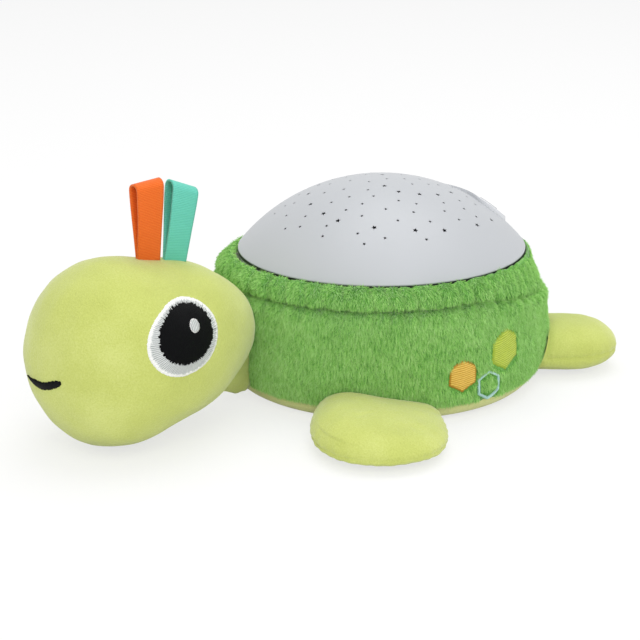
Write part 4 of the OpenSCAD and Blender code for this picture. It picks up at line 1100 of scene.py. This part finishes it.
def grow_pile(name, skin, room, seed, count, **sizes):
    """room(point, normal) is 1 where fibres grow on the skin and 0 where none do."""
    mesh, area = pile_ground(skin, room)
    wanted = count * 1.0
    carrier = add_object(name, mesh)
    group = pile_nodes(name, wanted / area, seed, material=green_fibre, **sizes)
    carrier.modifiers.new("pile", "NODES").node_group = group
    grown = bpy.data.meshes.new_from_object(
        carrier.evaluated_get(bpy.context.evaluated_depsgraph_get()))
    bpy.data.objects.remove(carrier)
    bpy.data.meshes.remove(mesh)
    bpy.data.node_groups.remove(group)
    pile = add_object(name, grown)
    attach(pile, "plush")
    print(f"{name}: {len(grown.polygons)} faces on {area * 1e4:.0f} square centimetres of skin")


# %% Where fibres grow on the wall and the collar
def off_patches(p):
    """0 under the embroidery's threads, and 1 elsewhere, also in the upper part of an outline."""
    angle = abs(half_turn(math.degrees(math.atan2(p.x, -p.y))))
    for _, middle, z, radius, _, _, _, gap, _ in PATCHES:
        away = math.hypot((angle - middle) / 360 * TAU * BODY_R, p.z - z)
        in_field = gap and away < gap * 0.8 and p.z > z - gap * 0.25
        if away < radius * 1.04 and not in_field:
            return 0.0
    return 1.0


def half_of(sign):
    """Room on one half of the wall's outside, so that no piece of pile gets too large."""
    def room(p, n):
        outside = n.x * p.x + n.y * p.y > 0
        grows = outside and p.x * sign > -0.5 and p.z > SEAM_Z + 1.5
        return off_patches(p) if grows else 0.0
    return room


def collar_room(p, n):
    outside = n.x * p.x + n.y * p.y > 0 or n.z > 0.3
    return 1.0 if outside and math.hypot(p.x, p.y) > COLLAR_IN_R + 1.2 else 0.0


for word, sign, seed in (("left", 1, 30), ("right", -1, 40)):
    grow_pile(f"{word}_wall_pile", wall_skin, half_of(sign), seed, **LONG_PILE)
    grow_pile(f"{word}_wall_pile_b", wall_skin, half_of(sign), seed + 30, **SHORT_PILE)
grow_pile("collar_pile", collar_skin, collar_room, 50, **COLLAR_PILE)

# %% [markdown]
# ## Ribbon loops
# Grosgrain tape is stiff enough to stand as an open loop. Its middle line is drawn once, seen from
# the front, swept across the tape's width, and given its thickness. It leans a little, as sewn.

# %% Fold a tape into a loop
TAPE_W, TAPE_T, TAPE_GAP, TAPE_ROWS = 13.0, 0.8, 5.6, 12
FOOT_HALF = 0.85    # half the distance between its two ends, where they are sewn in


def loop_line(height):
    """The tape's middle line: up one side, over the top and down the other."""
    half, rise = TAPE_GAP / 2, height - TAPE_GAP / 2 - 0.9
    line = [(FOOT_HALF + half * math.sin(math.radians(90 * i / 20)) ** 1.4, i / 20 * rise)
            for i in range(21)]
    top_r, top_z = line[-1]
    line += bow(0, top_z, top_r, half + 0.5, range(12, 181, 12))
    return line + [(-x, z) for x, z in reversed(line[:20])]


def ribbon_loop(name, y, foot_z, lean_deg, shear, height, material, node):
    """y and foot_z say where it stands, lean_deg how far it leans, and shear how its top slants."""
    line = loop_line(height)
    run = [0.0]
    for (x0, z0), (x1, z1) in zip(line, line[1:]):
        run.append(run[-1] + math.hypot(x1 - x0, z1 - z0))
    length_at = {(round(x, 4), round(z, 4)): s for (x, z), s in zip(line, run)}
    bm = bmesh.new()
    verts = [bm.verts.new((x, -TAPE_W / 2, z)) for x, z in line]
    edges = [bm.edges.new(pair) for pair in zip(verts, verts[1:])]
    sweep(bm, edges, (0, TAPE_W / TAPE_ROWS, 0), TAPE_ROWS)
    map_threads(bm, {v: (v.co.y, length_at[(round(v.co.x, 4), round(v.co.z, 4))])
                     for v in bm.verts})
    for v in bm.verts:
        share = v.co.z / height
        v.co.z += shear * v.co.y * share ** 1.5
        v.co.y *= 1 - 0.16 * (1 - min(1.0, share)) ** 1.5
        v.co.x += 0.25 * math.sin(v.co.z / 6 + v.co.y / 4)
    bmesh.ops.recalc_face_normals(bm, faces=bm.faces)
    bmesh.ops.solidify(bm, geom=bm.faces[:], thickness=TAPE_T)
    bmesh.ops.recalc_face_normals(bm, faces=bm.faces)
    lean = Matrix.Rotation(math.radians(-lean_deg), 3, "X")
    bmesh.ops.rotate(bm, verts=bm.verts, cent=(0, 0, 0), matrix=lean)
    bmesh.ops.translate(bm, verts=bm.verts, vec=(0, y, foot_z))
    bmesh.ops.scale(bm, verts=bm.verts, vec=(MM, MM, MM))
    piece = from_bmesh(name, bm, material)
    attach(piece, "plush")
    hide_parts(node)
    print(f"{name}: tape {run[-1]:.1f} mm long")


ribbon_loop("orange_loop", -131.5, 78.9, 1, 0.12, 37.1, orange_ribbon,
            "ribbon_orange")
ribbon_loop("teal_loop", -118.3, 76.3, 9, -0.25, 36.5, teal_ribbon, "ribbon_teal")

# %% [markdown]
# ## Hard parts
# The projector's pieces keep their modelled shapes. Moulded plastic is never one flat colour: a
# fine spark-eroded grain breaks its gloss, and its colour drifts a little. Boards and rubber are
# made the same way with other numbers, and metal gets a brushed gloss. The dome's inside is painted
# near black as painted shade, so that its stars read as holes.


# %% Plastics, metal and rubber
def uneven_gloss(tree, shader, pattern, low, high):
    gloss = put(tree, "ShaderNodeMapRange", {"Value": pattern, "To Min": low, "To Max": high})
    tree.links.new(gloss.outputs[0], shader.inputs["Roughness"])


def moulded(name, code, rough=0.42, grain=0.06, drift=0.06, coat=0.0, inside=None):
    """inside gives a ball's middle height and radius; within it the plastic is near black: painted
    shade.
    """
    material, tree, shader = new_material(name, Coat_Weight=coat, Coat_Roughness=0.25)
    place = object_place(tree)
    broad, fine = cloudy(tree, place, 30.0), cloudy(tree, place, 2600.0, 1.0)
    colour = hex_colour(code)
    dark = tuple(c * (1 - drift) for c in colour[:3]) + (1,)
    mix = put(tree, "ShaderNodeMixRGB", {0: broad, 1: dark, 2: colour}).outputs[0]
    # Near black within the ball: painted shade for the dome's unlit inside.
    if inside:
        links = {0: place, 1: (0, 0, inside[0] * MM)}
        off = put(tree, "ShaderNodeVectorMath", links, operation="DISTANCE").outputs["Value"]
        deep = maths(tree, "LESS_THAN", off, inside[1] * MM)
        mix = put(tree, "ShaderNodeMixRGB", {0: deep, 1: mix, 2: hex_colour("1B1C20")}).outputs[0]
    uneven_gloss(tree, shader, fine, rough - 0.05, rough + 0.08)
    finish_with(tree, shader, mix, fine, grain, 0.5)
    return material


def metal(name, code, rough=0.3):
    material, tree, shader = new_material(name, Metallic=1.0)
    brushed = cloudy(tree, scaled(tree, object_place(tree), (1, 1, 12)), 900.0)
    tree.links.new(ramp(tree, brushed, (0.3, code), (0.8, "D8DADC")), shader.inputs["Base Color"])
    uneven_gloss(tree, shader, brushed, rough - 0.08, rough + 0.12)
    return material


# %% Finish of each hard part
FINISH = {
    # The dome's inside is painted near black: painted shade.
    "star_dome": moulded("dome_grey", "B9BCC0", 0.4, 0.05, 0.03, inside=(6.758, 90.45)),
    "control_pad": moulded("pad_grey", "E2E4E7", 0.5),
    "power_button": moulded("power_key_grey", "D2D4D7", 0.5),
    "color_button": moulded("color_key_grey", "CFD1D4", 0.5),
    "timer_button": moulded("timer_key_grey", "CCCED1", 0.5),
    "base_housing": moulded("housing_grey", "DADCE1", 0.5, 0.1),
    "battery_door": moulded("door_grey", "D3D5DA", 0.5, 0.1),
    "inner_deck": moulded("deck_dark", "2E3036", 0.6),
    "light_tower": moulded("tower_white", "ECECEA", 0.55),
    "lamp_board": moulded("lamp_board_white", "F1F1EF", 0.4),
    "main_board": moulded("board_green", "2A7445", 0.35),
    "button_board": moulded("key_board_green", "2A7445", 0.35),
    "board_parts": moulded("chips_black", "1F2124", 0.5),
    "tact_switches": moulded("switch_black", "26282B", 0.45),
    "button_cable": moulded("cable_grey", "CFCFCA", 0.5),
    "lamp_red": moulded("lens_red", "D9483C", 0.15),
    "lamp_green": moulded("lens_green", "45A955", 0.15),
    "lamp_blue": moulded("lens_blue", "3F70CC", 0.15),
    "batteries": moulded("cell_sleeve", "3A68AE", 0.3, coat=0.4),
    "battery_leads": moulded("lead_red", "B7352C", 0.45),
    "rubber_feet": moulded("foot_rubber", "3A3C3F", 0.85, 0.2),
    "battery_springs": metal("spring_nickel", "9FA3A8"),
    "battery_contacts": metal("contact_nickel", "9FA3A8"),
    "housing_screws": metal("screw_zinc", "8E9196"),
    "board_screws": metal("small_screw_zinc", "8E9196"),
    "door_screw": metal("door_screw_zinc", "8E9196"),
}
for node, material in FINISH.items():
    for slot in frame["nodes"][node].material_slots:
        slot.material = material
print("finished nodes:", len(FINISH))
